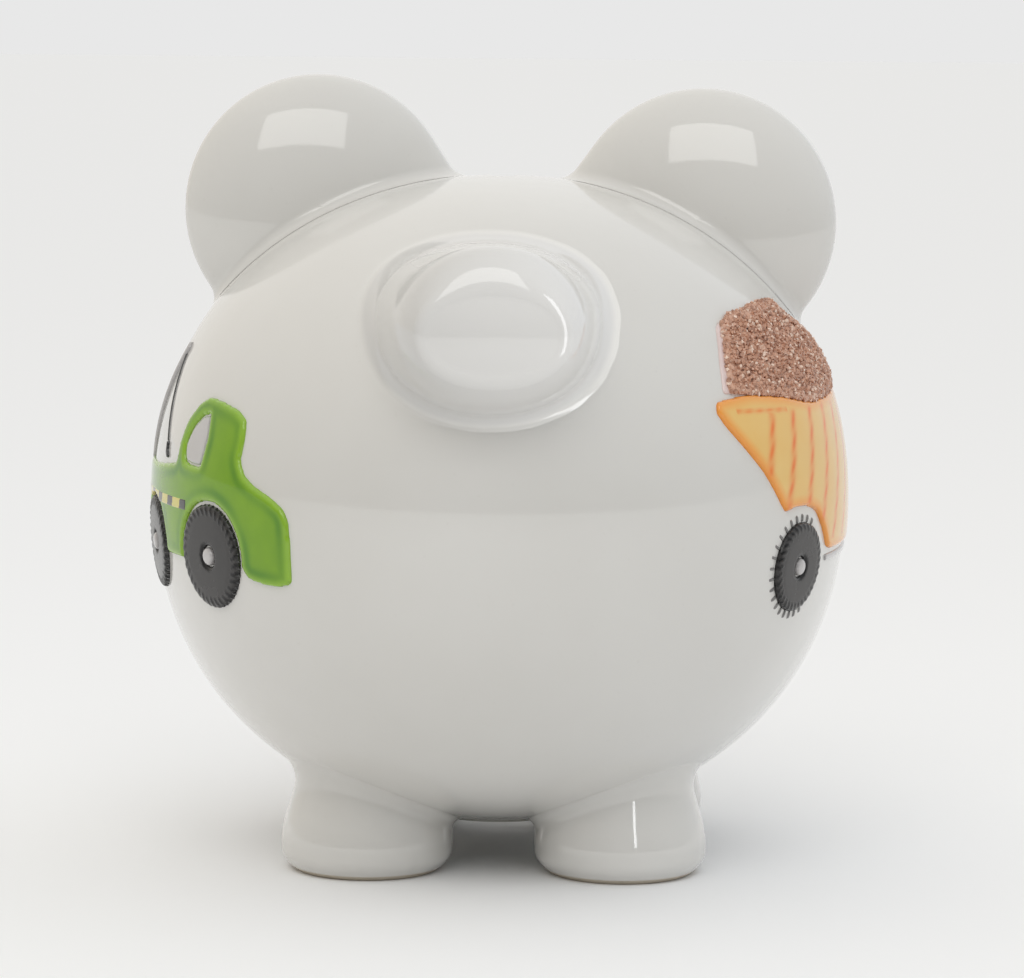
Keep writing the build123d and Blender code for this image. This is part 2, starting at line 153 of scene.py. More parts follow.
@dataclass(frozen=True)
class Finish:
    """A fired surface: two tones that drift into each other, a gloss, and painted rim and lines.

    Attributes:
        name: material name.
        slot: material slot of the record; not used.
        light: main colour.
        dark: colour of the clouds and flecks.
        rim: colour towards the outline of a relief piece, or, on the tail, a painted shade over all but its root;
            or None.
        rim_share: how strongly the rim colour covers.
        lines: colour where the piece's "lines" attribute is 1, or None.
        rough: lowest and highest roughness.
        coat: weight of the clear glaze on top.
        specular: strength of the mirror-like reflection.
        cloud_scale: clouds per metre.
        fleck_share: strength of the flecks.
        wave: height and scale of the surface's waviness.
        bare_foot: the lowest band, on the floor, is bare clay.
    """

    name: str
    slot: str
    light: Colour
    dark: Colour
    rim: Colour | None = None
    rim_share: float = 0.7
    lines: Colour | None = None
    rough: tuple[float, float] = (0.05, 0.1)
    coat: float = 0.5
    specular: float = 0.5
    cloud_scale: float = 22.0
    fleck_share: float = 0.05
    wave: tuple[float, float] = (0.05, 45.0)
    bare_foot: bool = False

    def material(self) -> bpy.types.Material:
        """Build the material, once.

        Returns:
            The material, with Principled BSDF, the mottle group and the painted masks.
        """
        if self.name in bpy.data.materials:
            return bpy.data.materials[self.name]
        material = bpy.data.materials.new(self.name)
        material.use_nodes = True
        tree = material.node_tree
        shader = tree.nodes["Principled BSDF"]
        shader.inputs["Coat Weight"].default_value = self.coat
        shader.inputs["Coat Roughness"].default_value = 0.03
        shader.inputs["IOR"].default_value = 1.5
        shader.inputs["Specular IOR Level"].default_value = self.specular
        mottle = tree.nodes.new("ShaderNodeGroup")
        mottle.node_tree = Mottle.tree()
        for socket, value in (
            ("Light", self.light), ("Dark", self.dark), ("Cloud Scale", self.cloud_scale),
            ("Fleck Share", self.fleck_share), ("Rough Low", self.rough[0]),
            ("Rough High", self.rough[1]), ("Wave Height", self.wave[0]), ("Wave Scale", self.wave[1]),
        ):
            mottle.inputs[socket].default_value = value
        colour = mottle.outputs["Color"]
        if self.rim:
            colour = self.cover(tree, colour, self.rim, "rim", self.rim_share)
        if self.lines:
            colour = self.cover(tree, colour, self.lines, "lines", 1.0)
        roughness = mottle.outputs["Roughness"]
        if self.bare_foot:
            colour, roughness = self.bare(tree, shader, colour, roughness)
        tree.links.new(colour, shader.inputs["Base Color"])
        tree.links.new(roughness, shader.inputs["Roughness"])
        tree.links.new(mottle.outputs["Normal"], shader.inputs["Normal"])
        return material

    @staticmethod
    def cover(tree: bpy.types.NodeTree, under: bpy.types.NodeSocket, colour: Colour, attribute: str,
              share: float) -> bpy.types.NodeSocket:
        """Lay a colour over another where a mesh attribute says.

        Args:
            tree: node tree of the material.
            under: colour socket to cover.
            colour: colour to lay on.
            attribute: name of the float attribute, 1 where the colour covers.
            share: how strongly it covers there.

        Returns:
            The colour socket of the result.
        """
        mask = tree.nodes.new("ShaderNodeAttribute")
        mask.attribute_name = attribute
        amount = tree.nodes.new("ShaderNodeMapRange")
        amount.inputs["To Max"].default_value = share
        mix = tree.nodes.new("ShaderNodeMix")
        mix.data_type = "RGBA"
        mix.inputs["B"].default_value = colour
        tree.links.new(mask.outputs["Fac"], amount.inputs["Value"])
        tree.links.new(amount.outputs["Result"], mix.inputs["Factor"])
        tree.links.new(under, mix.inputs["A"])
        return mix.outputs["Result"]

    @staticmethod
    def bare(tree: bpy.types.NodeTree, shader: bpy.types.Node, colour: bpy.types.NodeSocket,
             roughness: bpy.types.NodeSocket) -> tuple[bpy.types.NodeSocket, bpy.types.NodeSocket]:
        """Leave the lowest band, near the floor, as bare matt clay.

        Args:
            tree: node tree of the material.
            shader: its Principled BSDF.
            colour: glazed colour.
            roughness: glazed roughness.

        Returns:
            Colour and roughness with the bare band.
        """
        place = tree.nodes.new("ShaderNodeTexCoord")
        split = tree.nodes.new("ShaderNodeSeparateXYZ")
        band = tree.nodes.new("ShaderNodeMapRange")
        band.inputs["From Min"].default_value = 0.0013
        band.inputs["From Max"].default_value = 0.0010
        tree.links.new(place.outputs["Object"], split.inputs["Vector"])
        tree.links.new(split.outputs["Z"], band.inputs["Value"])
        clay = tree.nodes.new("ShaderNodeMix")
        clay.data_type = "RGBA"
        clay.inputs["B"].default_value = linear(196, 186, 170)
        tree.links.new(band.outputs["Result"], clay.inputs["Factor"])
        tree.links.new(colour, clay.inputs["A"])
        matt = tree.nodes.new("ShaderNodeMix")
        matt.inputs["B"].default_value = 0.7
        tree.links.new(band.outputs["Result"], matt.inputs["Factor"])
        tree.links.new(roughness, matt.inputs["A"])
        glaze = tree.nodes.new("ShaderNodeMapRange")
        glaze.inputs["To Min"].default_value = 0.5
        glaze.inputs["To Max"].default_value = 0.0
        tree.links.new(band.outputs["Result"], glaze.inputs["Value"])
        tree.links.new(glaze.outputs["Result"], shader.inputs["Coat Weight"])
        return clay.outputs["Result"], matt.outputs["Result"]


WHITE = Finish("white_fired", "white_glaze", linear(228, 227, 224), linear(213, 211, 206), cloud_scale=15.0,
               fleck_share=0.3, bare_foot=True)
# The tail's finish: its rim colour is a painted shade, a grey laid over the tail above its root so that it reads
# darker than the body.
TAIL_WHITE_PAINTED_SHADE = Finish("white_tail_painted_shade", "white_glaze", linear(228, 227, 224), linear(213, 211, 206),
                    cloud_scale=15.0, fleck_share=0.3, rim=linear(205, 204, 202), rim_share=0.8,
                    wave=(0.008, 45.0))
BLACK = Finish("black_fired", "black_glaze", linear(24, 24, 26), linear(40, 40, 42), coat=0.8)
TYRE = Finish("tyre_fired", "tyre_glaze", linear(52, 51, 51), linear(68, 66, 65), rim=linear(28, 28, 29),
              lines=linear(16, 16, 17), rim_share=0.6, cloud_scale=120.0, coat=0.15, specular=0.3,
              rough=(0.2, 0.32))
TREAD = Finish("tread_fired", "tyre_glaze", linear(138, 137, 135), linear(112, 110, 109), cloud_scale=200.0)
GREY = Finish("grey_fired", "grey_glaze", linear(206, 204, 204), linear(188, 185, 184),
              rim=linear(120, 116, 116), rim_share=0.55, cloud_scale=120.0)
GREEN = Finish("green_fired", "green_glaze", linear(134, 178, 18), linear(98, 146, 14),
               rim=linear(158, 200, 70), lines=linear(74, 132, 16), rim_share=0.8, cloud_scale=75.0,
               coat=0.3, specular=0.4)
YELLOW = Finish("yellow_fired", "yellow_glaze", linear(226, 214, 110), linear(212, 198, 92),
                lines=linear(40, 38, 40), cloud_scale=120.0)
ORANGE = Finish("orange_fired", "orange_glaze", linear(238, 204, 132), linear(234, 184, 98),
                rim=linear(246, 146, 44), lines=linear(238, 118, 40), rim_share=0.9, cloud_scale=75.0,
                coat=0.3, specular=0.4)
PINK = Finish("pink_fired", "white_glaze", linear(232, 214, 210), linear(224, 200, 196), cloud_scale=150.0)
GRIT = Finish("grit_fired", "grit", linear(222, 176, 150), linear(198, 150, 124), rim=linear(244, 220, 202),
              lines=linear(130, 86, 72), rim_share=0.85, rough=(0.2, 0.42), coat=0.3, cloud_scale=150.0,
              fleck_share=0.3, wave=(0.3, 700.0))
RUBBER = Finish("stopper_soft", "stopper_rubber", linear(200, 199, 192), linear(186, 184, 176),
                rough=(0.45, 0.6), coat=0.0, cloud_scale=90.0, wave=(0.2, 500.0))


# ============================ mesh making ============================

def grid_faces(rows: int, columns: int, closed_rows: bool, closed_columns: bool) -> np.ndarray:
    """Quads of a grid of points, row by row.

    Args:
        rows: number of rows.
        columns: number of points in a row.
        closed_rows: the last row joins the first.
        closed_columns: the last point of a row joins its first.

    Returns:
        Vertex numbers, four for each face.
    """
    row, column = np.meshgrid(np.arange(rows - (not closed_rows)),
                              np.arange(columns - (not closed_columns)), indexing="ij")
    below, beside = (row + 1) % rows, (column + 1) % columns
    quads = [row * columns + column, row * columns + beside, below * columns + beside,
             below * columns + column]
    return np.stack([corner.ravel() for corner in quads], axis=1)


def make_piece(name: str, points: np.ndarray, faces: np.ndarray, finish: Finish, body: str = BANK,
               replaces: tuple[str, ...] = (), attributes: dict[str, np.ndarray] | None = None,
               smooth: bool = True, shading: Shading | None = None) -> bpy.types.Object:
    """Make a mesh piece, weld its doubles, turn its faces outwards and fix it to a body.

    Args:
        name: name of the piece.
        points: vertices, (count, 3), in metres.
        faces: quads as vertex numbers.
        finish: surface finish.
        body: CAD body that it rides on.
        replaces: CAD nodes that it stands for.
        attributes: float attributes of the vertices.
        smooth: shade smooth.
        shading: gives the shading normals of the vertices, or None for the mesh's own.

    Returns:
        The new object.
    """
    mesh = bpy.data.meshes.new(name)
    mesh.from_pydata(points.tolist(), [], faces.tolist())
    for label, values in (attributes or {}).items():
        layer = mesh.attributes.new(label, "FLOAT", "POINT")
        layer.data.foreach_set("value", np.asarray(values, np.float32).ravel())
    solid = bmesh.new()
    solid.from_mesh(mesh)
    bmesh.ops.remove_doubles(solid, verts=solid.verts, dist=1e-6)
    bmesh.ops.dissolve_degenerate(solid, edges=solid.edges, dist=1e-7)
    bmesh.ops.recalc_face_normals(solid, faces=solid.faces)
    solid.to_mesh(mesh)
    solid.free()
    mesh.polygons.foreach_set("use_smooth", [smooth] * len(mesh.polygons))
    if shading:
        corners, normals = np.empty((2, len(mesh.vertices) * 3), np.float32)
        mesh.vertices.foreach_get("co", corners)
        mesh.vertex_normals.foreach_get("vector", normals)
        shaded = shading(corners.reshape(-1, 3), normals.reshape(-1, 3))
        mesh.normals_split_custom_set_from_vertices(shaded.tolist())
    piece = bpy.data.objects.new(name, mesh)
    bpy.context.scene.collection.objects.link(piece)
    piece.data.materials.append(finish.material())
    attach(piece, body)
    if replaces:
        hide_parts(*replaces)
    log.info("%s: %d faces", name, len(mesh.polygons))
    return piece


def unit(vectors: np.ndarray) -> np.ndarray:
    """Vectors of length 1 along the last axis."""
    return vectors / np.maximum(np.linalg.norm(vectors, axis=-1, keepdims=True), 1e-12)


# ============================ the pot ============================

@dataclass
class Pot:
    """The hollow body: a rounded form, with its slot, its stopper hole and the seat round it.

    Formula of the skin: ((x / half_width)^2 + (y / half_length)^2)^(fullness / 2)
    + |z / half_height|^fullness = 1, about the middle.
    """

    half_height: float = 0.0785
    fullness: float = 2.15
    wall: float = 0.0045
    slot_width: float = 0.0048
    slot_length: float = 0.040
    slot_forward: float = 0.016
    slot_lip: float = 0.0010
    hole_radius: float = 0.015
    seat_radius: float = 0.0195
    columns: int = 240
    half_width: float = field(init=False)
    half_length: float = field(init=False)
    middle: np.ndarray = field(init=False)

    def __post_init__(self) -> None:
        """Take the pot's width, length and place from its CAD node."""
        low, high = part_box("body_shell")
        self.half_width = (high.x - low.x) / 2
        self.half_length = (high.y - low.y) / 2
        self.middle = np.array([(low.x + high.x) / 2, (low.y + high.y) / 2, high.z - self.half_height])

    def radius(self, height: np.ndarray) -> np.ndarray:
        """Half width at a height above the middle, from the formula of the skin."""
        share = 1 - np.abs(height / self.half_height) ** self.fullness
        return self.half_width * np.maximum(share, 0) ** (1 / self.fullness)

    def distance(self, points: np.ndarray) -> np.ndarray:
        """Distance outside the skin, near it: the formula's excess over its slope there."""
        value, slope = self.excess(points)
        return value / np.maximum(np.linalg.norm(slope, axis=-1), 1e-9)

    def normal(self, points: np.ndarray) -> np.ndarray:
        """Outward direction of the skin at points near it."""
        return unit(self.excess(points)[1])

    def excess(self, points: np.ndarray) -> tuple[np.ndarray, np.ndarray]:
        """Excess of the skin's formula over 1, and its slope.

        Args:
            points: points, (..., 3).

        Returns:
            The excess at each point, and the three parts of its slope.
        """
        x, y, z = np.moveaxis(points - self.middle, -1, 0)
        reach = np.maximum(np.hypot(x / self.half_width, y / self.half_length), 1e-9)
        rise = np.maximum(np.abs(z / self.half_height), 1e-9)
        power = self.fullness
        value = reach ** power + rise ** power - 1
        radial = power * reach ** (power - 2)
        slope = np.stack([radial * x / self.half_width ** 2, radial * y / self.half_length ** 2,
                          power * rise ** (power - 1) * np.sign(z) / self.half_height], axis=-1)
        return value, slope

    def skin(self, longitude: np.ndarray, height: np.ndarray, lift: np.ndarray | float = 0.0) -> np.ndarray:
        """Points of the skin, lifted off it.

        Args:
            longitude: degrees round the body, 0 at the tail, 90 at the pig's left.
            height: above the middle, in metres.
            lift: distance out of the skin, in metres.

        Returns:
            Points, (..., 3).
        """
        turn = np.radians(longitude)
        radius = self.radius(height)
        stretch = self.half_length / self.half_width
        points = np.stack([radius * np.sin(turn), stretch * radius * np.cos(turn), height], axis=-1)
        points = points + self.middle
        return points + self.normal(points) * np.asarray(lift)[..., None]

    def over(self, plan: np.ndarray, margin: float, up: bool) -> np.ndarray:
        """Points of the form grown by a margin, above or below places of the plan.

        Args:
            plan: x and y from the middle, (..., 2).
            margin: growth of the form, negative for the inner skin.
            up: the upper half rather than the lower.

        Returns:
            Points, (..., 3).
        """
        width, length = self.half_width + margin, self.half_length + margin
        reach = np.hypot(plan[..., 0] / width, plan[..., 1] / length)
        share = np.maximum(1 - reach ** self.fullness, 0) ** (1 / self.fullness)
        height = (self.half_height + margin) * share * (1 if up else -1)
        return np.concatenate([plan, height[..., None]], axis=-1) + self.middle

    def stadium(self, grow: float) -> np.ndarray:
        """The slot's outline grown all round, as plan points, in equal steps of its length."""
        straight = self.slot_length - self.slot_width
        radius = self.slot_width / 2 + grow
        bend = np.pi * radius
        run = np.linspace(0, 2 * (straight + bend), self.columns, endpoint=False) + straight / 2
        run = run % (2 * (straight + bend))
        side = run // (straight + bend)
        run = run - side * (straight + bend)
        turn = np.clip((run - straight) / radius, 0, np.pi)
        x = radius * np.cos(turn)
        y = np.minimum(run, straight) - straight / 2 + radius * np.sin(turn)
        flip = 1 - 2 * side
        return np.stack([x * flip, y * flip - self.slot_forward], axis=-1)

    def rings(self, inner: np.ndarray, margin: float, up: bool, count: int) -> list[np.ndarray]:
        """Rows of skin between a closed outline of the plan and the pot's widest ring.

        Formula: a place of the plan is inner + (rim - inner) * share, with share the cosine of a
        latitude that falls evenly from 90 degrees to 0, to the power 2 / fullness.

        Args:
            inner: outline, (columns, 2), about the middle.
            margin: growth of the form.
            up: the upper half rather than the lower.
            count: number of rows.

        Returns:
            The rows, from the outline to the widest ring.
        """
        turn = np.linspace(0, 2 * np.pi, self.columns, endpoint=False)
        rim = np.stack([(self.half_width + margin) * np.cos(turn),
                        (self.half_length + margin) * np.sin(turn)], axis=-1)
        latitudes = np.linspace(np.pi / 2, 0, count)
        shares = np.cos(latitudes) ** (2 / self.fullness)
        shares[0] = 0
        return [self.over(inner + (rim - inner) * share, margin, up) for share in shares]

    def circle(self, radius: float) -> np.ndarray:
        """A circle of the plan about the middle."""
        turn = np.linspace(0, 2 * np.pi, self.columns, endpoint=False)
        return radius * np.stack([np.cos(turn), np.sin(turn)], axis=-1)

    def build(self) -> None:
        """Build the shell as one closed ring of rows: skin, seat, hole, inner skin, slot."""
        slot = self.stadium(0)
        rows = []
        for turn in np.linspace(0, np.pi / 2, 5)[:-1]:
            lip = self.over(self.stadium(self.slot_lip * (1 - np.cos(turn))), 0, True)
            lip[:, 2] -= self.slot_lip * (1 - np.sin(turn))
            rows.append(lip)
        rows += self.rings(self.stadium(self.slot_lip), 0, True, 90)
        rows += self.rings(self.circle(self.seat_radius), 0, False, 80)[-2::-1]
        seat_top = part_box("body_shell")[0].z
        rim = rows[-1].copy()
        rows.append(np.column_stack([rim[:, :2], np.full(len(rim), seat_top)]))
        hole = self.circle(self.hole_radius) + self.middle[:2]
        rows.append(np.column_stack([hole, np.full(len(hole), seat_top)]))
        inner = self.rings(self.circle(self.hole_radius), -self.wall, False, 40)
        rows += inner
        rows += self.rings(slot, -self.wall, True, 40)[-2::-1]
        points = np.array(rows)
        faces = grid_faces(len(rows), self.columns, True, True)
        piece = make_piece("pot", points.reshape(-1, 3), faces, WHITE, replaces=("body_shell",))
        piece.data.set_sharp_from_angle(angle=np.radians(55))


# ============================ luted pieces ============================

@dataclass
class Luted:
    """A piece stuck to the pot, with a hollow fillet of slip round its root."""

    pot: Pot
    fillet: float = 0.005
    blend: float = 0.0002
    root_depth: float = 0.001

    def shading(self, points: np.ndarray, normals: np.ndarray) -> np.ndarray:
        """Let the shading of the root run into that of the skin, so that the glaze bridges the join.

        Formula: with t the height over the skin as a share of the blend, from 0 to 1, the normal is
        the skin's by 1 - t^2 (3 - 2 t) and the piece's own by the rest.

        Args:
            points: vertices of the piece.
            normals: their normals.

        Returns:
            The shading normals.
        """
        share = np.clip(self.pot.distance(points) / self.blend, 0, 1)[:, None]
        share = share * share * (3 - 2 * share)
        return unit(self.pot.normal(points) * (1 - share) + normals * share)

    def bridge(self, first: np.ndarray, last: np.ndarray, count: int) -> np.ndarray:
        """Rows from one row of a root to another, laid under the skin, that close the piece.

        Args:
            first: row of points to start from.
            last: row of points, or one point, to end at.
            count: number of rows.

        Returns:
            The rows after the first one, the last of them included.
        """
        rows = np.array([first + (last - first) * share for share in np.linspace(0, 1, count + 1)[1:]])
        for _ in range(4):
            rows = rows - self.pot.normal(rows) * (self.pot.distance(rows) + self.root_depth)[..., None]
        return rows

    def settle(self, points: np.ndarray, normals: np.ndarray,
               fillet: np.ndarray | None = None) -> np.ndarray:
        """Flare a piece's surface into the skin.

        Formula: a point at height h over the skin, with h under the fillet's radius r, moves sideways
        by r - sqrt(r^2 - (r - h)^2), away from the piece, and is put back at height h.

        Args:
            points: surface of the piece, (..., 3), down to the skin.
            normals: its outward directions.
            fillet: the radius for each column, or None for the same all round.

        Returns:
            The points, the lowest of them tangent to the skin and just under it.
        """
        fillet = np.full(points.shape[1], self.fillet) if fillet is None else fillet
        height = self.pot.distance(points)
        skin_normal = self.pot.normal(points)
        sideways = normals - (normals * skin_normal).sum(-1, keepdims=True) * skin_normal
        sideways = unit(sideways)
        kept = np.clip(height, 0, fillet)
        shift = fillet - np.sqrt(fillet ** 2 - (fillet - kept) ** 2)
        moved = points + sideways * shift[..., None]
        near = np.clip(1 - kept / fillet, 0, 1)
        for _ in range(2):
            wrong = (np.maximum(height, 0) - self.pot.distance(moved)) * (near > 0)
            moved = moved + self.pot.normal(moved) * wrong[..., None]
        sink = 0.00004 * np.clip(1 - kept / (0.15 * fillet), 0, 1)
        return moved - self.pot.normal(moved) * sink[..., None]

    def rooted(self, surface: Surface, depth: float, rows: int, top: float = 0.0) -> np.ndarray:
        """Rows of a surface from its tip to where it meets the skin, closer at both ends.

        Args:
            surface: function of depth below the tip, one for each column, giving points.
            depth: depth that is surely inside the pot.
            rows: number of rows.
            top: depth of the first row.

        Returns:
            Grid of points, (rows, columns, 3), the last row on the skin.
        """
        probe = surface(np.zeros(1))
        low = np.full(probe.shape[0], top)
        high = np.full(probe.shape[0], depth)
        for _ in range(40):
            middle = (low + high) / 2
            inside = self.pot.distance(surface(middle)) < 0
            high = np.where(inside, middle, high)
            low = np.where(inside, low, middle)
        steps = (1 - np.cos(np.pi * np.linspace(0, 1, rows))) / 2
        return np.array([surface(top + (low - top) * step) for step in steps])


@dataclass
class Foot(Luted):
    """A bulging stump on an unglazed ring.

    The profile is radius against height over the floor, through a few named sizes, joined by a
    smooth cubic curve.
    """

    node: str = ""
    fillet: float = 0.0036
    ring: float = 0.0175
    bevel: float = 0.0013
    heights: tuple[float, ...] = (0.0013, 0.0030, 0.0065, 0.0110, 0.0160, 0.0200, 0.0240, 0.0360)
    radii: tuple[float, ...] = (0.0188, 0.0201, 0.0207, 0.0202, 0.0188, 0.0177, 0.0173, 0.0173)
    recess_radius: float = 0.012
    recess_depth: float = 0.002
    columns: int = 120

    def profile(self, height: np.ndarray) -> np.ndarray:
        """Radius at a height: a monotone cubic through the named sizes."""
        known, radii = np.array(self.heights), np.array(self.radii)
        slopes = np.gradient(radii, known)
        slot = np.clip(np.searchsorted(known, height) - 1, 0, len(known) - 2)
        span = known[slot + 1] - known[slot]
        t = np.clip((height - known[slot]) / span, 0, 1)
        return ((2 * t ** 3 - 3 * t ** 2 + 1) * radii[slot]
                + (t ** 3 - 2 * t ** 2 + t) * span * slopes[slot]
                + (3 * t ** 2 - 2 * t ** 3) * radii[slot + 1]
                + (t ** 3 - t ** 2) * span * slopes[slot + 1])

    def build(self) -> None:
        """Build the foot from its sunken underside up to the belly."""
        low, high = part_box(self.node)
        centre = np.array([(low.x + high.x) / 2, (low.y + high.y) / 2])
        turn = np.linspace(0, 2 * np.pi, self.columns, endpoint=False)
        ray = np.stack([np.cos(turn), np.sin(turn)], axis=-1)

        def wall(height: np.ndarray) -> np.ndarray:
            """Points of the side at a height for each column."""
            level = np.broadcast_to(height, (self.columns,))
            return np.column_stack([centre + ray * self.profile(level)[:, None], level])

        side = self.rooted(wall, self.heights[-1], 60, self.heights[0])
        normals = np.broadcast_to(np.column_stack([ray, np.zeros(self.columns)]), side.shape)
        side = self.settle(side, normals)
        sunk, inner = self.recess_depth, self.recess_radius
        under = [(0.0, sunk), (inner * 0.5, sunk), (inner - 0.0004, sunk), (inner, sunk - 0.0004),
                 (inner, 0.0003), (inner + 0.0003, 0.0), (self.ring - 0.0004, 0.0), (self.ring, 0.0003)]
        rows = [np.column_stack([centre + ray * radius, np.full(self.columns, height)])
                for radius, height in under]
        points = np.concatenate([np.array(rows), side, self.bridge(side[-1], side[-1].mean(axis=0), 5)])
        faces = grid_faces(len(points), self.columns, False, True)
        make_piece(f"{self.node}_clay", points.reshape(-1, 3), faces, WHITE, replaces=(self.node,),
                   shading=self.shading)


@dataclass
class Tail(Luted):
    """A thick stub with a flat oval end and broad sloping shoulders.

    Formula: at a distance s behind the end, the half width is that of the face, plus a small quarter
    circle for the face's edge, plus shoulder * tanh(1.5 s / run), plus s times a slight flare. The
    sizes go smoothly from their side values to the top and bottom ones.
    """

    aside: float = -0.0012
    height: float = 0.0462
    rise: float = 2.5
    swing: float = 3.3
    face: tuple[float, float] = (0.0146, 0.0086)
    edge: tuple[float, float] = (0.0024, 0.0014)
    run_side: float = 0.0115
    run_top: float = 0.0056
    run_below: float = 0.0090
    shoulder_side: float = 0.0026
    shoulder_top: float = 0.0088
    shoulder_below: float = 0.0036
    flare_side: float = 0.22
    flare_top: float = 0.01
    flare_below: float = 0.27
    fillet_side: float = 0.0042
    fillet_top: float = 0.0060
    fillet_below: float = 0.0034
    set_back: float = 0.0003
    blend: float = 0.0003
    dome: float = 0.0012
    reach_in: float = 0.065       # behind the end, surely inside the pot
    painted_shade_over: float = 0.0010     # height over the skin from which the tail carries its painted shade, a grey
    columns: int = 200

    def round_value(self, ray: np.ndarray, side: float, top: float, below: float) -> np.ndarray:
        """A size that goes smoothly from its side value to its top and bottom ones round the tail."""
        share = ray[:, 1] ** 2
        return side * (1 - share) + np.where(ray[:, 1] > 0, top, below) * share

    def build(self) -> None:
        """Build the tail from the middle of its end to the skin."""
        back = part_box("tail")[1].y
        axis = unit(np.array([-np.tan(np.radians(self.swing)), 1.0, np.tan(np.radians(self.rise))]))
        across = unit(np.cross(axis, [0, 0, 1]))
        upward = np.cross(across, axis)
        run = back - self.pot.middle[1]
        rise = self.height + (run - self.pot.half_length) * axis[2]
        end = self.pot.middle + np.array([self.aside, run - self.set_back, rise])
        turn = np.linspace(0, 2 * np.pi, self.columns, endpoint=False)
        ray = np.stack([np.cos(turn), np.sin(turn)], axis=-1)
        oval = np.sign(ray) * np.abs(ray) ** (2 / 2.2)
        flare = self.round_value(ray, self.flare_side, self.flare_top, self.flare_below)
        shoulder = self.round_value(ray, self.shoulder_side, self.shoulder_top, self.shoulder_below)
        length = self.round_value(ray, self.run_side, self.run_top, self.run_below)

        def wall(depth: np.ndarray) -> np.ndarray:
            """Points at a depth behind the end for each column."""
            depth = np.broadcast_to(depth, (self.columns,))
            turned = 1 - np.clip(depth / self.edge[1], 0, 1)
            grow = self.edge[0] * np.sqrt(1 - turned ** 2) + flare * depth
            grow = grow + shoulder * np.tanh(1.5 * depth / length)
            x = oval[:, 0] * self.face[0] + ray[:, 0] * grow
            z = oval[:, 1] * self.face[1] + ray[:, 1] * grow
            return end - axis * depth[:, None] + across * x[:, None] + upward * z[:, None]

        face = wall(np.zeros(1))
        centre = face.mean(axis=0)
        shares = np.linspace(0, 1, 14)[:-1]
        crown = np.array([centre + (face - centre) * share - axis * self.dome * share ** 2
                          for share in shares])
        side = self.rooted(wall, self.reach_in, 120) - axis * self.dome
        grid = np.concatenate([crown, side])
        normals = np.broadcast_to(across * ray[:, :1] + upward * ray[:, 1:], grid.shape)
        fillet = self.round_value(ray, self.fillet_side, self.fillet_top, self.fillet_below)
        grid = self.settle(grid, normals, fillet)
        grid = np.concatenate([grid, self.bridge(grid[-1], grid[-1].mean(axis=0), 8)])
        points = grid.reshape(-1, 3)
        # Painted shade: the tail turns grey from a millimetre over the skin outward, carried by the rim attribute.
        painted_shade = np.clip(self.pot.distance(points) / self.painted_shade_over, 0, 1)
        make_piece("tail_clay", points, grid_faces(len(grid), self.columns, False, True), TAIL_WHITE_PAINTED_SHADE,
                   replaces=("tail",), shading=self.shading,
                   attributes={"rim": painted_shade * painted_shade * (3 - 2 * painted_shade)})


@dataclass
class Snout(Luted):
    """A thick oval button with two nostrils pressed into its face."""

    fillet: float = 0.004
    rounding: float = 0.005
    nostril_aside: float = 0.0085
    nostril: tuple[float, float] = (0.0042, 0.0060)
    nostril_depth: float = 0.0038
    reach_in: float = 0.035       # behind the face, surely inside the pot
    columns: int = 160

    def build(self) -> None:
        """Build the snout from the middle of its face to the skin."""
        low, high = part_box("snout")
        half = np.array([(high.x - low.x) / 2, (high.z - low.z) / 2])
        centre = np.array([(low.x + high.x) / 2, low.y, (low.z + high.z) / 2])
        turn = np.linspace(0, 2 * np.pi, self.columns, endpoint=False)
        ray = np.stack([np.cos(turn), np.sin(turn)], axis=-1)

        def wall(depth: np.ndarray) -> np.ndarray:
            """Points at a depth behind the face for each column."""
            depth = np.broadcast_to(depth, (self.columns,))
            share = np.clip(depth / self.rounding, 0, 1)
            inset = self.rounding * (1 - np.sqrt(np.maximum(1 - (1 - share) ** 2, 0)))
            size = half[None, :] - inset[:, None]
            return np.column_stack([centre[0] + ray[:, 0] * size[:, 0], centre[1] + depth,
                                    centre[2] + ray[:, 1] * size[:, 1]])

        rim = wall(np.zeros(1))
        shares = np.linspace(0, 1, 48)[:-1]
        face = np.array([centre + (rim - centre) * share for share in shares])
        side = self.rooted(wall, self.reach_in, 50)
        grid = np.concatenate([face, side])
        sideways = np.column_stack([ray[:, 0], np.zeros(self.columns), ray[:, 1]])
        normals = np.broadcast_to(sideways, grid.shape)
        grid = self.settle(grid, normals)
        for side_sign in (-1, 1):
            across = (grid[..., 0] - centre[0] - side_sign * self.nostril_aside) / self.nostril[0]
            up = (grid[..., 2] - centre[2]) / self.nostril[1]
            reach = np.clip(1 - across ** 2 - up ** 2, 0, 1)
            in_face = grid[..., 1] < low.y + 0.004
            grid[..., 1] += self.nostril_depth * np.sqrt(reach) * np.clip(reach * 6, 0, 1) * in_face
        grid = np.concatenate([grid, self.bridge(grid[-1], grid[-1].mean(axis=0), 6)])
        faces = grid_faces(len(grid), self.columns, False, True)
        make_piece("snout_clay", grid.reshape(-1, 3), faces, WHITE, replaces=("snout",),
                   shading=self.shading)


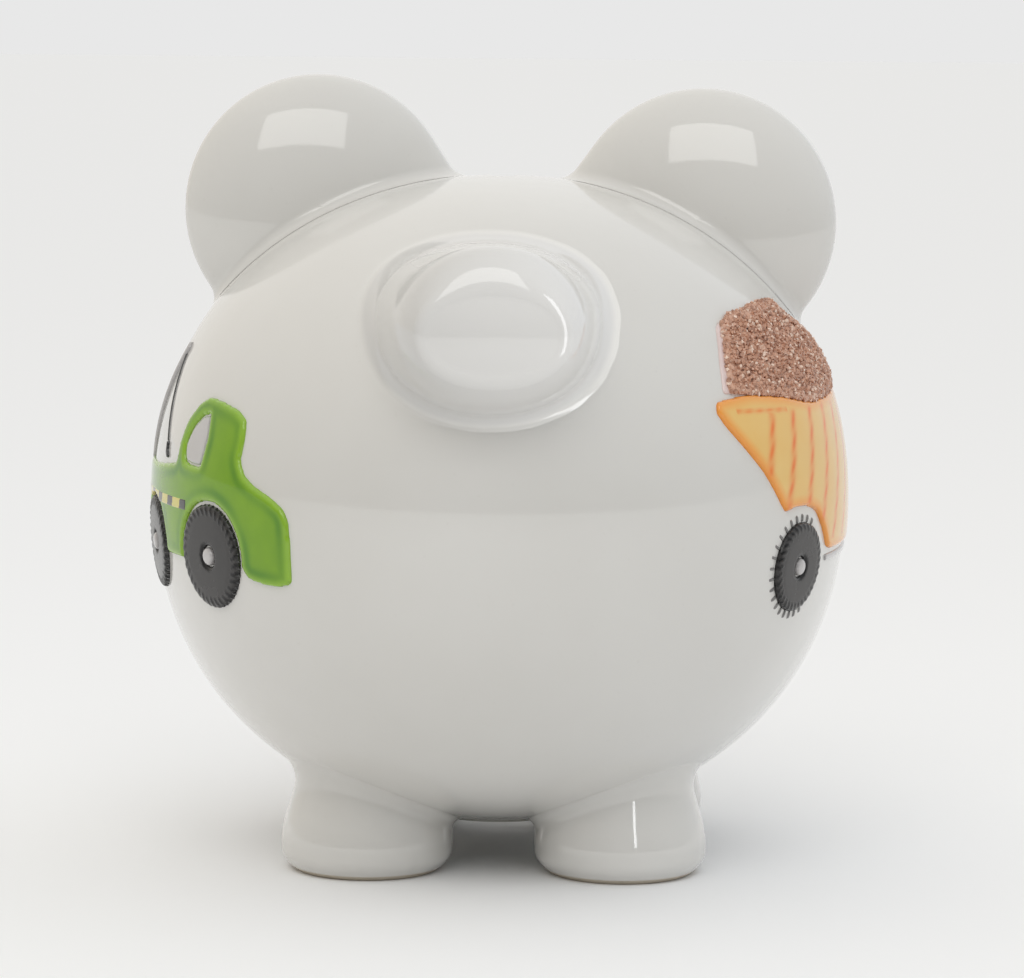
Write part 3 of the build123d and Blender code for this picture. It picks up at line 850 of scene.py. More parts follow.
@dataclass
class Ear(Luted):
    """A cupped ear: half of a section turned about its middle, then carried down into the body.

    The half section is a quarter-ellipse for the back, a rolled rim, and a smooth hollow cup.
    """

    node: str = ""
    flank: Flank = Flank.LEFT
    lean: float = 33.0
    fillet: float = 0.0030
    radius: float = 0.0328
    reach: float = 0.083
    behind: float = -0.005
    twist: float = 8.0
    dome: float = 0.013
    rim: float = 0.007
    cup: float = 0.009
    stem_reach: float = 0.045     # down from the round end, surely inside the pot
    stem_rows: int = 36

    def half_section(self, count: int = 90) -> np.ndarray:
        """Half of the section, from the middle of the back over the rim to the middle of the cup.

        Returns:
            Distance from the middle, and height out of the ear's back, (count, 2).
        """
        back_turn = np.linspace(np.pi / 2, 0, count // 2)
        back = np.stack([self.radius * np.cos(back_turn), self.dome * np.sin(back_turn)], axis=-1)
        rim_turn = np.linspace(0, -np.pi * 0.62, count // 4)[1:]
        rim_size = self.rim * 0.52
        rim = np.stack([self.radius - rim_size + rim_size * np.cos(rim_turn),
                        self.rim * 0.85 * np.sin(rim_turn)], axis=-1)
        share = np.linspace(0, 1, count // 2)[1:, None]
        ease = share * share * (3 - 2 * share)
        start, floor = rim[-1], np.array([0.0, self.cup - self.rim])
        fall = 0.35 * ease + 0.65 * np.sin(share * np.pi / 2)
        cup = np.concatenate([start[:1] * (1 - share), start[1] + (floor[1] - start[1]) * fall], axis=1)
        return np.concatenate([back, rim, cup])

    def build(self) -> None:
        """Build the ear in its own plane and settle it on the skin."""
        lean, twist = np.radians(self.lean), np.radians(self.twist)
        side = self.flank.value
        outward = np.array([side * np.sin(lean), 0, np.cos(lean)])
        across = np.array([-np.cos(lean), 0, side * np.sin(lean)])
        across = across * np.cos(twist) - np.array([0, side, 0]) * np.sin(twist)
        back = np.cross(across, outward)
        middle = self.pot.middle + np.array([0, self.behind, 0]) + outward * self.reach
        section = self.half_section()
        count = len(section)

        def stem(sign: int) -> Surface:
            """One side of the stem, as points at a depth for each point of the section."""
            def at(depth: np.ndarray) -> np.ndarray:
                """Points of that side."""
                depth = np.broadcast_to(depth, (count,))
                return (middle + across * (sign * section[:, :1]) - outward * depth[:, None]
                        + back * section[:, 1:])
            return at

        turns = np.linspace(0, np.pi, 97)
        arc = np.array([middle + section[:, :1] * (across * np.cos(turn) + outward * np.sin(turn))
                        + back * section[:, 1:] for turn in turns])
        right = self.rooted(stem(1), self.stem_reach, self.stem_rows)
        left = self.rooted(stem(-1), self.stem_reach, self.stem_rows)
        grid = np.concatenate([right[::-1], arc[1:-1], left])
        tangent = np.gradient(section, axis=0)
        flat = unit(np.stack([-tangent[:, 1], tangent[:, 0]], axis=-1))
        from_rim = section - np.array([self.radius * 0.9, 0.0])
        flat = flat * np.sign((flat * from_rim).sum(-1)[count // 2 + 5])
        stem_part = np.ones(self.stem_rows)
        spread = np.concatenate([stem_part, np.cos(turns[1:-1]), -stem_part])
        lift = np.concatenate([0 * stem_part, np.sin(turns[1:-1]), 0 * stem_part])
        normals = (across * (spread[:, None] * flat[:, 0])[..., None]
                   + outward * (lift[:, None] * flat[:, 0])[..., None] + back * flat[None, :, 1:])
        grid = self.settle(grid, unit(normals))
        for column in (0, -1):
            seam = (grid[:self.stem_rows, column] + grid[-self.stem_rows:, column][::-1]) / 2
            grid[:self.stem_rows, column], grid[-self.stem_rows:, column] = seam, seam[::-1]
        grid = np.concatenate([grid, self.bridge(grid[-1], grid[0], 7)[:-1]])
        faces = grid_faces(len(grid), count, True, False)
        make_piece(f"{self.node}_clay", grid.reshape(-1, 3), faces, WHITE, replaces=(self.node,),
                   shading=self.shading)


# ============================ relief decoration ============================

ROUND_SCALE = 0.087           # metres of skin for each radian of longitude, about


def cut_corners(points: np.ndarray, passes: int = 3) -> np.ndarray:
    """Round a closed outline by cutting its corners: an eighth off each side, then a quarter each time.

    Args:
        points: corners, (count, 2).
        passes: how many times to cut.

    Returns:
        The rounded outline.
    """
    for cut in [0.12] + [0.25] * (passes - 1):
        following = np.roll(points, -1, axis=0)
        near, far = points * (1 - cut) + following * cut, points * cut + following * (1 - cut)
        points = np.stack([near, far], axis=1).reshape(-1, 2)
    return points


def outline_distance(places: np.ndarray, outline: np.ndarray) -> tuple[np.ndarray, np.ndarray]:
    """Distance of places inside a closed outline, negative outside, and the nearest outline points.

    Args:
        places: places, (count, 2).
        outline: corners, (corners, 2).

    Returns:
        Signed distances and nearest points.
    """
    start, end = outline, np.roll(outline, -1, axis=0)
    best = np.full(len(places), np.inf)
    nearest = np.zeros_like(places)
    crossings = np.zeros(len(places), int)
    for a, b in zip(start, end):
        side = b - a
        share = np.clip(((places - a) @ side) / max(side @ side, 1e-18), 0, 1)
        foot = a + share[:, None] * side
        gap = np.hypot(*(places - foot).T)
        closer = gap < best
        best = np.where(closer, gap, best)
        nearest[closer] = foot[closer]
        spans = (a[1] > places[:, 1]) != (b[1] > places[:, 1])
        rise = b[1] - a[1] if abs(b[1] - a[1]) > 1e-15 else 1e-15
        crossings += spans & (places[:, 0] < a[0] + side[0] * (places[:, 1] - a[1]) / rise)
    return np.where(crossings % 2 == 1, best, -best), nearest


@dataclass
class Relief:
    """A piece of raised clay on the skin, from an outline of (longitude, height in millimetres)."""

    pot: Pot
    name: str
    finish: Finish
    outline: np.ndarray
    lift: float
    replaces: tuple[str, ...]
    edge: float = 0.0012
    rim_width: float = 0.0015
    step: float = 0.0005
    holes: list[np.ndarray] = field(default_factory=list)
    lines: Pattern | None = None
    bumps: Pattern | None = None

    def build(self) -> bpy.types.Object:
        """Build the pillow-edged patch with its underside.

        Returns:
            The piece.
        """
        flat = self.flat(self.outline)
        low, high = flat.min(0) - self.step, flat.max(0) + self.step
        counts = np.ceil((high - low) / self.step).astype(int) + 1
        u, v = np.meshgrid(low[0] + self.step * np.arange(counts[0]),
                           low[1] + self.step * np.arange(counts[1]), indexing="ij")
        places = np.stack([u.ravel(), v.ravel()], axis=-1)
        inside, nearest = outline_distance(places, flat)
        for hole in self.holes:
            gap, foot = outline_distance(places, self.flat(hole))
            closer = np.abs(gap) < np.abs(inside)
            outside_hole = -gap
            nearest[closer] = foot[closer]
            inside = np.where(closer | (gap > 0), np.minimum(inside, outside_hole), inside)
        quads = grid_faces(counts[0], counts[1], False, False)
        kept = quads[inside[quads].mean(axis=1) > 0]
        uses = np.bincount(kept.ravel(), minlength=len(places))
        border = (uses > 0) & (uses < 4)
        places = np.where(border[:, None], nearest, places)
        inside = np.where(border, 0.0, np.maximum(inside, 0))
        share = np.clip(inside / self.edge, 0, 1)
        lift = self.lift * np.sqrt(1 - (1 - share) ** 2)
        if self.bumps is not None:
            lift = lift + self.bumps(places, inside) * (share > 0)
        lift = np.where(border, -0.0003, lift)
        longitude, height = np.degrees(places[:, 0] / ROUND_SCALE), places[:, 1]
        top = self.pot.skin(longitude, height, lift)
        under = self.pot.skin(longitude, height, np.where(border, -0.0003, -0.0004))
        used = np.flatnonzero(uses)
        number = np.full(len(places), -1)
        number[used] = np.arange(len(used))
        number_under = np.where(border, number, number + len(used))
        faces = np.concatenate([number[kept], number_under[kept][:, ::-1]])
        points = np.concatenate([top[used], under[used]])
        rim = np.clip(1 - inside / self.rim_width, 0, 1)
        lines = np.zeros(len(places)) if self.lines is None else self.lines(places, inside)
        attributes = {"rim": np.tile(rim[used], 2), "lines": np.tile(np.clip(lines[used], 0, 1), 2)}
        loose = np.unique(faces)
        renumber = np.full(len(points), -1)
        renumber[loose] = np.arange(len(loose))
        attributes = {label: values[loose] for label, values in attributes.items()}
        return make_piece(self.name, points[loose], renumber[faces], self.finish, replaces=self.replaces,
                          attributes=attributes)

    @staticmethod
    def flat(outline: np.ndarray) -> np.ndarray:
        """An outline of longitudes and millimetres as metres of skin."""
        return np.stack([np.radians(outline[:, 0]) * ROUND_SCALE, outline[:, 1] / 1000], axis=-1)


def oval(place: Place, half_width: float, half_height: float, count: int = 72) -> np.ndarray:
    """An oval outline about a place of the skin.

    Args:
        place: longitude in degrees and height in millimetres.
        half_width: in metres.
        half_height: in metres.
        count: number of points.

    Returns:
        The outline in longitudes and millimetres.
    """
    turn = np.linspace(0, 2 * np.pi, count, endpoint=False)
    return np.stack([place[0] + np.degrees(half_width / ROUND_SCALE) * np.cos(turn),
                     place[1] + 1000 * half_height * np.sin(turn)], axis=-1)


def stroke(start: Place, end: Place, half_width: float) -> np.ndarray:
    """A straight narrow band between two places of the skin, as an outline."""
    a = np.array([np.radians(start[0]) * ROUND_SCALE, start[1] / 1000])
    b = np.array([np.radians(end[0]) * ROUND_SCALE, end[1] / 1000])
    side = np.array([a[1] - b[1], b[0] - a[0]])
    side = side / np.hypot(*side) * half_width
    corners = np.array([a - side, b - side, b + side, a + side])
    return np.stack([np.degrees(corners[:, 0] / ROUND_SCALE), corners[:, 1] * 1000], axis=-1)


@dataclass
class Wheel:
    """A tyre with lugs round its rim, and a hub."""

    pot: Pot
    truck: str
    name: str
    place: Place
    radius: float
    hub_radius: float
    lugs: int = 34
    lug_slant: float = 0.35

    def lug_lines(self, places: np.ndarray, inside: np.ndarray) -> np.ndarray:
        """Dark lugs near the tyre's rim, and a dark ring round the hub.

        Formula: a lug is where the turn about the hub, times the number of lugs and slanted with the
        distance, is in the first half of its step, over the outer fifth of the radius.
        """
        centre = Relief.flat(np.array([self.place]))[0]
        across, up = (places - centre).T
        reach = np.hypot(across, up) / self.radius
        turn = np.arctan2(up, across) / (2 * np.pi) + self.lug_slant * (reach - 1) * 0.25
        lug = ((turn * self.lugs) % 1 < 0.45) & (reach > 0.80) & (reach < 0.99)
        ring = (np.hypot(across, up) < self.hub_radius * 1.5)
        return np.maximum(lug * 1.0, ring * 0.9)

    def lug_bumps(self, places: np.ndarray, inside: np.ndarray) -> np.ndarray:
        """Lugs stand out a little, and the side wall is dished."""
        centre = Relief.flat(np.array([self.place]))[0]
        reach = np.hypot(*(places - centre).T) / self.radius
        dish = 0.00025 * np.clip(1 - (reach / 0.7) ** 2, 0, 1)
        return 0.00012 * self.lug_lines(places, inside) * (reach > 0.75) - dish

    def build(self) -> None:
        """Build the tyre and the hub."""
        tyre = oval(self.place, self.radius, self.radius)
        hub = oval(self.place, self.hub_radius, self.hub_radius, 32)
        nodes = (f"{self.truck}_{self.name}_tyre",), (f"{self.truck}_{self.name}_hub",)
        Relief(self.pot, f"{nodes[0][0]}_clay", TYRE, tyre, 0.0011, nodes[0], holes=[hub],
               lines=self.lug_lines, bumps=self.lug_bumps, step=0.0004, edge=0.0014,
               rim_width=0.0010).build()
        Relief(self.pot, f"{nodes[1][0]}_clay", GREY, hub, 0.0014, nodes[1], step=0.0003, edge=0.0016,
               rim_width=0.0008).build()


@dataclass
class Lugs:
    """Short bars that stick out all round a tyre, or round part of it.

    Formula: over a bar, u and v run from -1 to 1 along and across it; the place is the hub plus
    (reach, turn) in polar form, and the height is lift * (1 - u^4) * (1 - v^4).
    """

    pot: Pot
    name: str
    finish: Finish
    place: Place
    inner: float
    outer: float
    count: int = 36
    half_turn: float = 2.1
    start: float = 0.0
    end: float = 360.0
    lift: float = 0.0008

    def build(self) -> None:
        """Build the bars as one mesh."""
        part_round = self.end - self.start < 360
        turns = np.radians(np.linspace(self.start, self.end, self.count, endpoint=part_round))
        u, v = np.meshgrid(np.linspace(-1, 1, 6), np.linspace(-1, 1, 5), indexing="ij")
        reach = self.inner + (self.outer - self.inner) * (u + 1) / 2
        turn = turns[:, None, None] + np.radians(self.half_turn) * v * self.inner / reach
        centre = Relief.flat(np.array([self.place]))[0]
        across = centre[0] + reach * np.cos(turn)
        up = centre[1] + reach * np.sin(turn)
        swell = (1 - u ** 4) * (1 - v ** 4)
        longitude = np.degrees(across / ROUND_SCALE)
        top = self.pot.skin(longitude, up, -0.0002 + (self.lift + 0.0002) * swell)
        under = self.pot.skin(longitude, up, np.full(up.shape, -0.0002) - 0.0002 * (swell > 0))
        points = np.stack([top, under], axis=1).reshape(-1, 3)
        sheet = grid_faces(6, 5, False, False)
        bar = np.concatenate([sheet, sheet[:, ::-1] + 30])
        faces = (bar[None] + 60 * np.arange(len(turns))[:, None, None]).reshape(-1, 4)
        make_piece(self.name, points, faces, self.finish)


@dataclass
class CraneTruck:
    """Green crane truck on the pig's left flank."""

    pot: Pot
    rear_wheel: Place = (51.3, -8.7)
    front_wheel: Place = (74.8, -9.2)
    tyre_radius: float = 0.0122
    front_radius: float = 0.0111
    hub_radius: float = 0.0023
    deck: float = 11.5
    nose: float = 92.0

    def paint(self, places: np.ndarray, inside: np.ndarray) -> np.ndarray:
        """Darker green shading that follows the outline, a little way in from it.

        Formula: exp(-((d - 0.0026) / 0.0011)^2), with d the distance inside the outline in metres,
        times a strength that wavers between 0.35 and 0.8 along and up the truck.
        """
        band = np.exp(-((inside - 0.0026) / 0.0011) ** 2)
        wobble = 0.5 + 0.5 * np.sin(places[:, 0] * 260 + 2.0 * np.sin(places[:, 1] * 190))
        return band * (0.35 + 0.45 * wobble)

    def dashes(self, places: np.ndarray, inside: np.ndarray) -> np.ndarray:
        """Black dashes of the warning stripe: nearly half of each five-degree step, slanted."""
        degrees = np.degrees(places[:, 0] / ROUND_SCALE) + places[:, 1] * 1000 * 0.12
        return (((degrees - 58.2) / 5.35) % 1 < 0.44) * 1.0

    def build(self) -> None:
        """Build the truck's pieces and wheels."""
        sill = self.rear_wheel[1] - 2.0
        wheels = {"rear": (self.rear_wheel, self.tyre_radius),
                  "front": (self.front_wheel, self.front_radius)}
        arches = [oval(place, radius + 0.0005, radius + 0.0005) for place, radius in wheels.values()]
        body = cut_corners(np.array([
            (self.nose, self.deck - 2.0), (74.0, self.deck - 1.6), (62.9, self.deck + 0.1), (62.6, 16.5),
            (61.2, 21.8), (58.2, 26.2), (55.6, 27.9), (52.0, 27.5), (46.4, 25.9), (43.9, 23.7), (43.5, 19.0),
            (43.9, 14.6), (42.6, 11.4), (40.3, 9.3), (36.6, 7.1), (34.0, 4.8), (32.9, 2.0), (32.5, -3.0),
            (32.4, -12.6), (35.2, -13.7), (39.0, -13.4), (41.6, -12.6), (44.0, -8.0), (50.0, -8.0),
            (59.0, sill), (66.4, sill), (70.0, -8.0), (82.0, -8.0), (87.0, sill), (self.nose, sill + 4.0),
        ]))
        window = cut_corners(np.array([(59.7, 12.2), (60.4, 16.3), (58.6, 20.6), (56.0, 23.4), (53.7, 23.9),
                                       (53.2, 18.5), (54.3, 11.7)]))
        stripe = np.array([(57.8, 0.6), (57.8, 3.9), (90.0, 4.0), (90.0, 0.9)])
        Relief(self.pot, "crane_body_clay", GREEN, body, 0.00082, ("crane_body",), edge=0.0013,
               rim_width=0.0022, holes=[window, *arches], lines=self.paint).build()
        Relief(self.pot, "crane_window_clay", GREY, window, 0.0004, ("crane_window",), edge=0.0008,
               rim_width=0.0007, step=0.0004).build()
        Relief(self.pot, "crane_stripe_clay", YELLOW, stripe, 0.00089, ("crane_stripe",), edge=0.0007,
               holes=arches, lines=self.dashes, step=0.0003).build()
        boom = stroke((87.0, self.deck - 2.5), (76.5, 38.0), 0.0013)
        Relief(self.pot, "crane_boom_clay", GREY, boom, 0.0008, ("crane_boom",), edge=0.0008,
               rim_width=0.0006, step=0.0004).build()
        cable = stroke((76.6, 35.6), (69.6, 15.5), 0.00035)
        Relief(self.pot, "crane_cable_clay", BLACK, cable, 0.0004, ("crane_cable_and_hook",), edge=0.0004,
               step=0.00022).build()
        hook = cut_corners(np.array([(69.9, 15.8), (69.0, 15.8), (68.7, 13.4), (67.9, 12.4), (68.6, 11.6),
                                     (69.6, 12.6)]))
        Relief(self.pot, "crane_hook_clay", BLACK, hook, 0.0006, (), edge=0.0005, step=0.0002).build()
        for name, (place, radius) in wheels.items():
            Wheel(self.pot, "crane", name, place, radius, self.hub_radius).build()
            Lugs(self.pot, f"crane_{name}_lugs", BLACK, place, radius - 0.0016, radius + 0.0001,
                 count=44, half_turn=1.7, lift=0.0009).build()


@dataclass
class DumpTruck:
    """Orange dump truck with a gritty load, on the pig's right flank."""

    pot: Pot
    rear_wheel: Place = (-58.2, -10.6)
    front_wheel: Place = (-106.0, -10.6)
    tyre_radius: float = 0.0107
    hub_radius: float = 0.0022
    bed_top: float = 28.6
    chassis_top: float = -8.5
    rib_step: float = 6.2
    grains: int = 4600
    seed: int = 7

    def ribs(self, places: np.ndarray, inside: np.ndarray) -> np.ndarray:
        """Painted ribs of the bed: slanted lines at even steps, under a short rail at the rear.

        Formula: a rib is where the longitude, leant by a fifth of a degree for each millimetre of
        height, is within an eighth of a step of a whole number of steps; the rail is a narrow band of
        heights; both fade in and out along their length like a brush stroke.
        """
        degrees, height = np.degrees(places[:, 0] / ROUND_SCALE), places[:, 1] * 1000
        leant = (degrees + 50.2 + 0.21 * (height - 17.0)) / self.rib_step
        near = np.abs(leant - np.round(leant))
        rib = np.exp(-(near / 0.125) ** 2) * np.clip(26.4 - height, 0, 1) * (height > -6.0) * (leant < 0.5)
        rail = np.exp(-((height - 26.5 - 0.05 * (degrees + 50)) / 0.5) ** 2)
        rail = rail * (degrees > -56.5) * (degrees < -43.5)
        wobble = 0.75 + 0.25 * np.sin(height * 1.7 + degrees * 2.3)
        return np.maximum(rib, 0.8 * rail) * np.clip(inside / 0.0015, 0, 1) * wobble

    def arches(self, grow: float) -> list[np.ndarray]:
        """Outlines of the wheel arches."""
        return [oval(place, self.tyre_radius + grow, self.tyre_radius + grow)
                for place in (self.rear_wheel, self.front_wheel)]

    def build(self) -> None:
        """Build the truck's pieces, load and wheels."""
        bed = cut_corners(np.array([
            (-40.0, 29.6), (-39.4, 27.0), (-41.2, 23.2), (-43.9, 19.2), (-48.4, 12.4), (-50.9, 7.5),
            (-53.3, 2.6), (-56.3, 3.6), (-60.0, 3.4), (-63.3, 1.8), (-66.4, -3.4), (-68.6, self.chassis_top),
            (-91.0, self.chassis_top), (-97.0, self.bed_top - 1), (-84.6, self.bed_top - 0.6),
            (-66.0, 27.0), (-56.6, 29.4), (-47.0, 30.7),
        ]))
        cab = cut_corners(np.array([(-95.5, self.chassis_top), (-98.5, 21.0), (-108.0, 21.0), (-112.0, 8.5),
                                    (-118.0, 6.0), (-118.5, self.chassis_top)]))
        window = cut_corners(np.array([(-101.0, 9.0), (-101.8, 18.0), (-107.0, 18.0), (-109.6, 9.0)]))
        chassis = np.array([(-68.2, -11.0), (-68.2, -9.2), (-93.5, -9.2), (-120.0, -9.2), (-120.0, -12.0)])
        Relief(self.pot, "dump_bed_clay", ORANGE, bed, 0.0009, ("dump_bed",), edge=0.0012, rim_width=0.0030,
               holes=self.arches(0.0022), lines=self.ribs).build()
        Relief(self.pot, "dump_cab_clay", ORANGE, cab, 0.0010, ("dump_cab",), edge=0.0012, rim_width=0.0026,
               holes=[window, *self.arches(0.0022)]).build()
        Relief(self.pot, "dump_window_clay", GREY, window, 0.0004, ("dump_window",), edge=0.0008,
               rim_width=0.0007).build()
        Relief(self.pot, "dump_chassis_clay", GREY, chassis, 0.0005, ("dump_chassis",), edge=0.0006,
               rim_width=0.0006, step=0.0004, holes=self.arches(0.0008)).build()
        self.load()
        for name, place in (("rear", self.rear_wheel), ("front", self.front_wheel)):
            Wheel(self.pot, "dump", name, place, self.tyre_radius, self.hub_radius).build()
            Lugs(self.pot, f"dump_{name}_lugs", TREAD, place, self.tyre_radius - 0.0003,
                 self.tyre_radius + 0.0019, count=19, half_turn=2.3, start=-112, end=118,
                 lift=0.0004).build()

    @staticmethod
    def lumps(places: np.ndarray, inside: np.ndarray) -> np.ndarray:
        """Small even lumps of the slip: the product of two sine waves, one along and one up the skin."""
        return 0.0003 * np.sin(places[:, 0] * 1900) * np.sin(places[:, 1] * 2100)

    def load(self) -> None:
        """Build the heap of grit: a lumpy bed of slip with angular grains pressed into it."""
        heap = cut_corners(np.array([
            (-42.7, 30.9), (-44.2, 38.0), (-46.9, 46.4), (-51.6, 48.8), (-56.0, 48.9), (-60.6, 50.0),
            (-66.0, 50.6), (-71.6, 50.2), (-73.6, 47.6), (-77.4, 45.2), (-83.0, 42.5), (-88.0, 38.5),
            (-92.0, 33.0), (-92.0, 28.2), (-84.6, 28.0), (-76.0, 27.0), (-66.0, 26.7), (-56.6, 29.0), (-47.0, 30.4),
        ]))
        edge = cut_corners(np.array([(-41.7, 30.8), (-43.2, 38.5), (-45.8, 45.8), (-47.8, 47.0),
                                     (-46.2, 38.3), (-44.6, 30.9)]))
        Relief(self.pot, "dump_load_edge", PINK, edge, 0.0004, (), edge=0.0007, step=0.0003).build()
        Relief(self.pot, "dump_load_slip", GRIT, heap, 0.0010, ("dump_load",), edge=0.0010, rim_width=1e-6,
               bumps=self.lumps).build()
        flat = Relief.flat(heap)
        random = np.random.default_rng(self.seed)
        low, high = flat.min(0), flat.max(0)
        places = low + random.random((self.grains * 3, 2)) * (high - low)
        inside, _ = outline_distance(places, flat)
        places = places[inside > 0.0002][:self.grains]
        inside = inside[inside > 0.0002][:self.grains]
        count = len(places)
        size = random.uniform(0.00034, 0.00066, count)
        height = 0.0006 + np.clip(inside / 0.003, 0, 1) * random.uniform(0.0, 0.0009, count)
        centres = self.pot.skin(np.degrees(places[:, 0] / ROUND_SCALE), places[:, 1], height)
        axes = random.normal(size=(count, 3, 3))
        first = unit(axes[:, 0])
        second = unit(np.cross(first, axes[:, 1]))
        third = np.cross(first, second)
        corners = np.array([(x, y, z) for x in (-1, 1) for y in (-1, 1) for z in (-1, 1)], float)
        jitter = corners[None] * random.uniform(0.55, 1.1, (count, 8, 3)) * size[:, None, None] * 0.72
        basis = np.stack([first, second, third], axis=1)
        points = centres[:, None, :] + np.einsum("nci,nij->ncj", jitter, basis)
        cube = np.array([(0, 1, 3, 2), (4, 6, 7, 5), (0, 4, 5, 1),
                         (2, 3, 7, 6), (0, 2, 6, 4), (1, 5, 7, 3)])
        faces = (cube[None] + 8 * np.arange(count)[:, None, None]).reshape(-1, 4)
        shade = np.repeat(random.random(count) ** 2.2, 8)
        sparkle = np.repeat((random.random(count) > 0.86) * 1.0, 8)
        make_piece("dump_load_grains", points.reshape(-1, 3), faces, GRIT, smooth=False,
                   attributes={"lines": shade * 0.6 * (1 - sparkle), "rim": sparkle})


@dataclass
class Eyes:
    """Two small black ovals."""

    pot: Pot
    longitude: float = 162.0
    height: float = 25.0
    half: tuple[float, float] = (0.0034, 0.0050)

    def build(self) -> None:
        """Build both eyes."""
        for name, sign in (("eye_left", 1), ("eye_right", -1)):
            shape = oval((sign * self.longitude, self.height), *self.half)
            Relief(self.pot, f"{name}_glaze", BLACK, shape, 0.0005, (name,), edge=0.002, step=0.0003).build()


# ============================ studio ============================

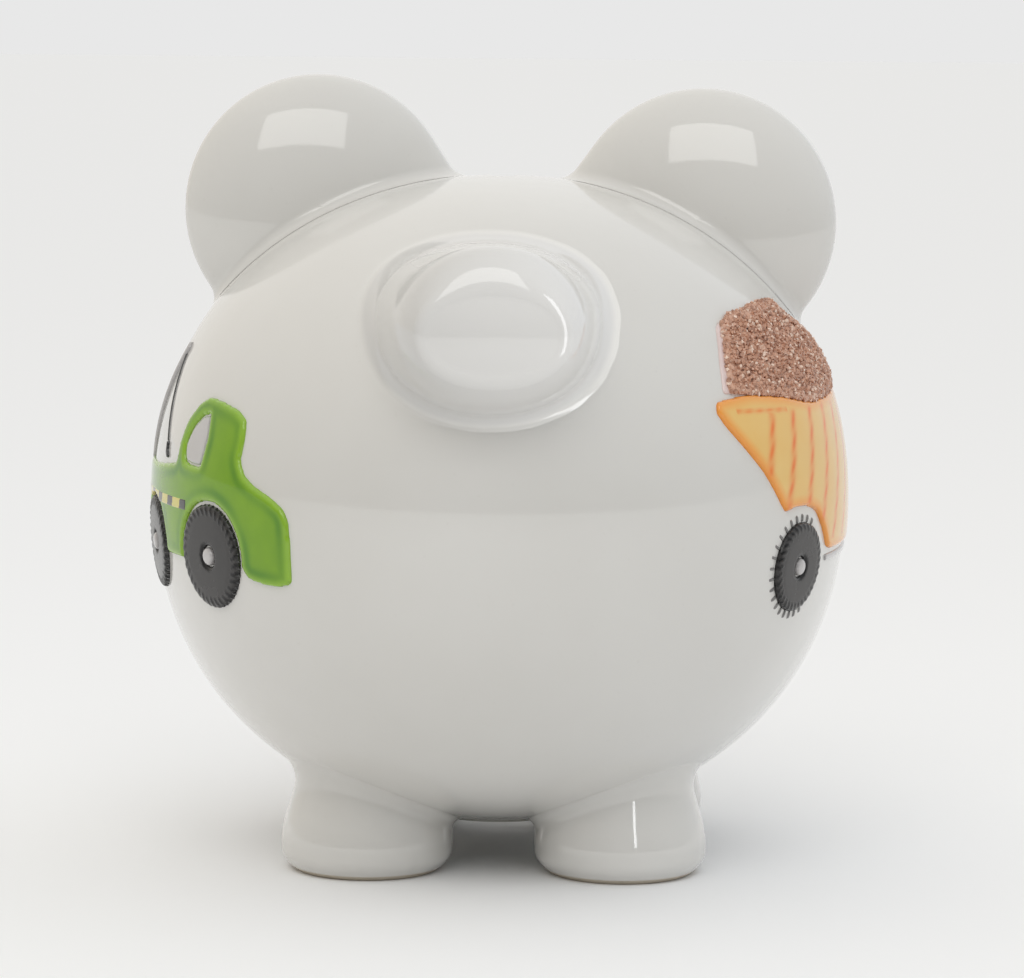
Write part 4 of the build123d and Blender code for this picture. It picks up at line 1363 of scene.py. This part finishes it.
@dataclass
class Studio:
    """Pale floor, soft light and the camera."""

    middle: np.ndarray
    distance: float = 1.0
    pitch: float = 6.5
    yaw: float = 1.6
    roll: float = 0.5
    lens: float = 143.1
    shift: tuple[float, float] = (0.0121, 0.0062)

    def build(self) -> None:
        """Build the floor, the world, the lights and the camera."""
        bpy.context.scene.view_settings.view_transform = "Standard"
        self.floor()
        self.world()
        self.lamp("window_panel", (0.05, 0.92, 1.00), (0.0, 0.0, 0.12), (0.82, 0.52), 2.6, (1.0, 1.0, 0.98))
        self.lamp("edge_panel", (-0.20, 0.32, 0.205), (0.0, 0.1, 0.205), (0.075, 0.335), 0.31,
                  (0.97, 0.98, 1.0), only=("tail_clay",))
        self.lamp("strip_panel", (-0.46, 1.15, 0.40), (0.0, 0.0, 0.10), (0.07, 0.50), 0.8,
                  (0.97, 0.98, 1.0), only=("foot_rear_right_clay",))
        self.camera()

    def floor(self) -> None:
        """A wide flat floor in a pale matt colour."""
        size = 30.0
        mesh = bpy.data.meshes.new("floor")
        corners = [(-size, -size, 0), (size, -size, 0), (size, size, 0), (-size, size, 0)]
        mesh.from_pydata(corners, [], [(0, 1, 2, 3)])
        floor = bpy.data.objects.new("floor", mesh)
        bpy.context.scene.collection.objects.link(floor)
        material = bpy.data.materials.new("floor_paint")
        material.use_nodes = True
        shader = material.node_tree.nodes["Principled BSDF"]
        shader.inputs["Base Color"].default_value = (0.933, 0.94, 0.95, 1)
        shader.inputs["Roughness"].default_value = 1.0
        shader.inputs["Specular IOR Level"].default_value = 0.0
        mesh.materials.append(material)

    def world(self) -> None:
        """A pale background, and a room whose light is brightest overhead, warm on the pig's left."""
        world = bpy.data.worlds.new("studio")
        bpy.context.scene.world = world
        world.use_nodes = True
        tree = world.node_tree
        tree.nodes.clear()
        make, link = tree.nodes.new, tree.links.new
        result = make("ShaderNodeOutputWorld")
        seen = make("ShaderNodeBackground")
        seen.inputs["Color"].default_value = linear(232, 232, 232)
        lighting = make("ShaderNodeBackground")
        place, split = make("ShaderNodeTexCoord"), make("ShaderNodeSeparateXYZ")
        link(place.outputs["Generated"], split.inputs["Vector"])
        rise = make("ShaderNodeMapRange")
        rise.inputs["From Max"].default_value = 0.9
        rise.inputs["To Max"].default_value = 1.05
        front = make("ShaderNodeMapRange")
        front.inputs["From Min"].default_value, front.inputs["From Max"].default_value = -0.8, 0.8
        front.inputs["To Min"].default_value, front.inputs["To Max"].default_value = 0.85, 0.05
        link(split.outputs["Y"], front.inputs["Value"])
        link(front.outputs["Result"], rise.inputs["To Min"])
        link(split.outputs["Z"], rise.inputs["Value"])
        link(rise.outputs["Result"], lighting.inputs["Strength"])
        tint = make("ShaderNodeMix")
        tint.data_type = "RGBA"
        tint.inputs["A"].default_value = (0.96, 0.98, 1.0, 1)
        tint.inputs["B"].default_value = (1.0, 0.95, 0.87, 1)
        side = make("ShaderNodeMapRange")
        side.inputs["From Min"].default_value, side.inputs["From Max"].default_value = -0.6, 0.8
        link(split.outputs["X"], side.inputs["Value"])
        link(side.outputs["Result"], tint.inputs["Factor"])
        link(tint.outputs["Result"], lighting.inputs["Color"])
        path, mix = make("ShaderNodeLightPath"), make("ShaderNodeMixShader")
        link(path.outputs["Is Camera Ray"], mix.inputs["Fac"])
        link(lighting.outputs["Background"], mix.inputs[1])
        link(seen.outputs["Background"], mix.inputs[2])
        link(mix.outputs["Shader"], result.inputs["Surface"])

    @staticmethod
    def lamp(name: str, place: tuple, target: tuple, size: tuple, power: float, colour: tuple,
             only: tuple[str, ...] = ()) -> None:
        """A rectangular soft light that faces a point.

        Args:
            name: name of the light.
            place: its middle.
            target: the point that it faces.
            size: width and height.
            power: in watts.
            colour: linear red, green and blue.
            only: pieces that it lights, or none for all of them.
        """
        data = bpy.data.lights.new(name, "AREA")
        data.shape = "RECTANGLE"
        data.size, data.size_y = size
        data.energy = power
        data.color = colour
        light = bpy.data.objects.new(name, data)
        bpy.context.scene.collection.objects.link(light)
        light.location = place
        light.rotation_mode = "QUATERNION"
        light.rotation_quaternion = (Vector(target) - Vector(place)).to_track_quat("-Z", "Y")
        light.visible_camera = False
        if only:
            lit = bpy.data.collections.new(f"{name}_lit")
            for piece in only:
                lit.objects.link(bpy.data.objects[piece])
            light.light_linking.receiver_collection = lit

    def camera(self) -> None:
        """A long lens behind the pig, a little above it, turned and rolled by small angles."""
        pitch, yaw, roll = np.radians([self.pitch, self.yaw, self.roll])
        back = np.array([-np.sin(yaw) * np.cos(pitch), np.cos(yaw) * np.cos(pitch), np.sin(pitch)])
        level = unit(np.cross(-back, [0, 0, 1]))
        upright = np.cross(level, -back)
        right = level * np.cos(roll) + upright * np.sin(roll)
        up = -level * np.sin(roll) + upright * np.cos(roll)
        data = bpy.data.cameras.new("camera")
        data.lens, data.sensor_width = self.lens, 36.0
        data.shift_x, data.shift_y = self.shift
        data.dof.use_dof = False
        camera = bpy.data.objects.new("camera", data)
        bpy.context.scene.collection.objects.link(camera)
        matrix = Matrix([Vector(right), Vector(up), Vector(back)]).transposed().to_4x4()
        matrix.translation = Vector(self.middle + back * self.distance)
        camera.matrix_world = matrix
        bpy.context.scene.camera = camera


# ============================ the whole bank ============================

def dress_node(node: str, finish: Finish) -> None:
    """Give a CAD node that stays its finish."""
    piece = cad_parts[node]
    piece.data.materials.clear()
    piece.data.materials.append(finish.material())


def main() -> None:
    """Build the pot, what is luted to it, the decoration and the studio."""
    logging.basicConfig(level=logging.INFO, format="%(name)s %(message)s")
    pot = Pot()
    pot.build()
    for node in ("foot_front_left", "foot_front_right", "foot_rear_left", "foot_rear_right"):
        Foot(pot, node=node).build()
    Ear(pot, node="ear_left", flank=Flank.LEFT, lean=32.8).build()
    Ear(pot, node="ear_right", flank=Flank.RIGHT, lean=36.0).build()
    Tail(pot).build()
    Snout(pot).build()
    Eyes(pot).build()
    CraneTruck(pot).build()
    DumpTruck(pot).build()
    dress_node("stopper", RUBBER)
    Studio(pot.middle).build()


if __name__ == "__main__":
    main()
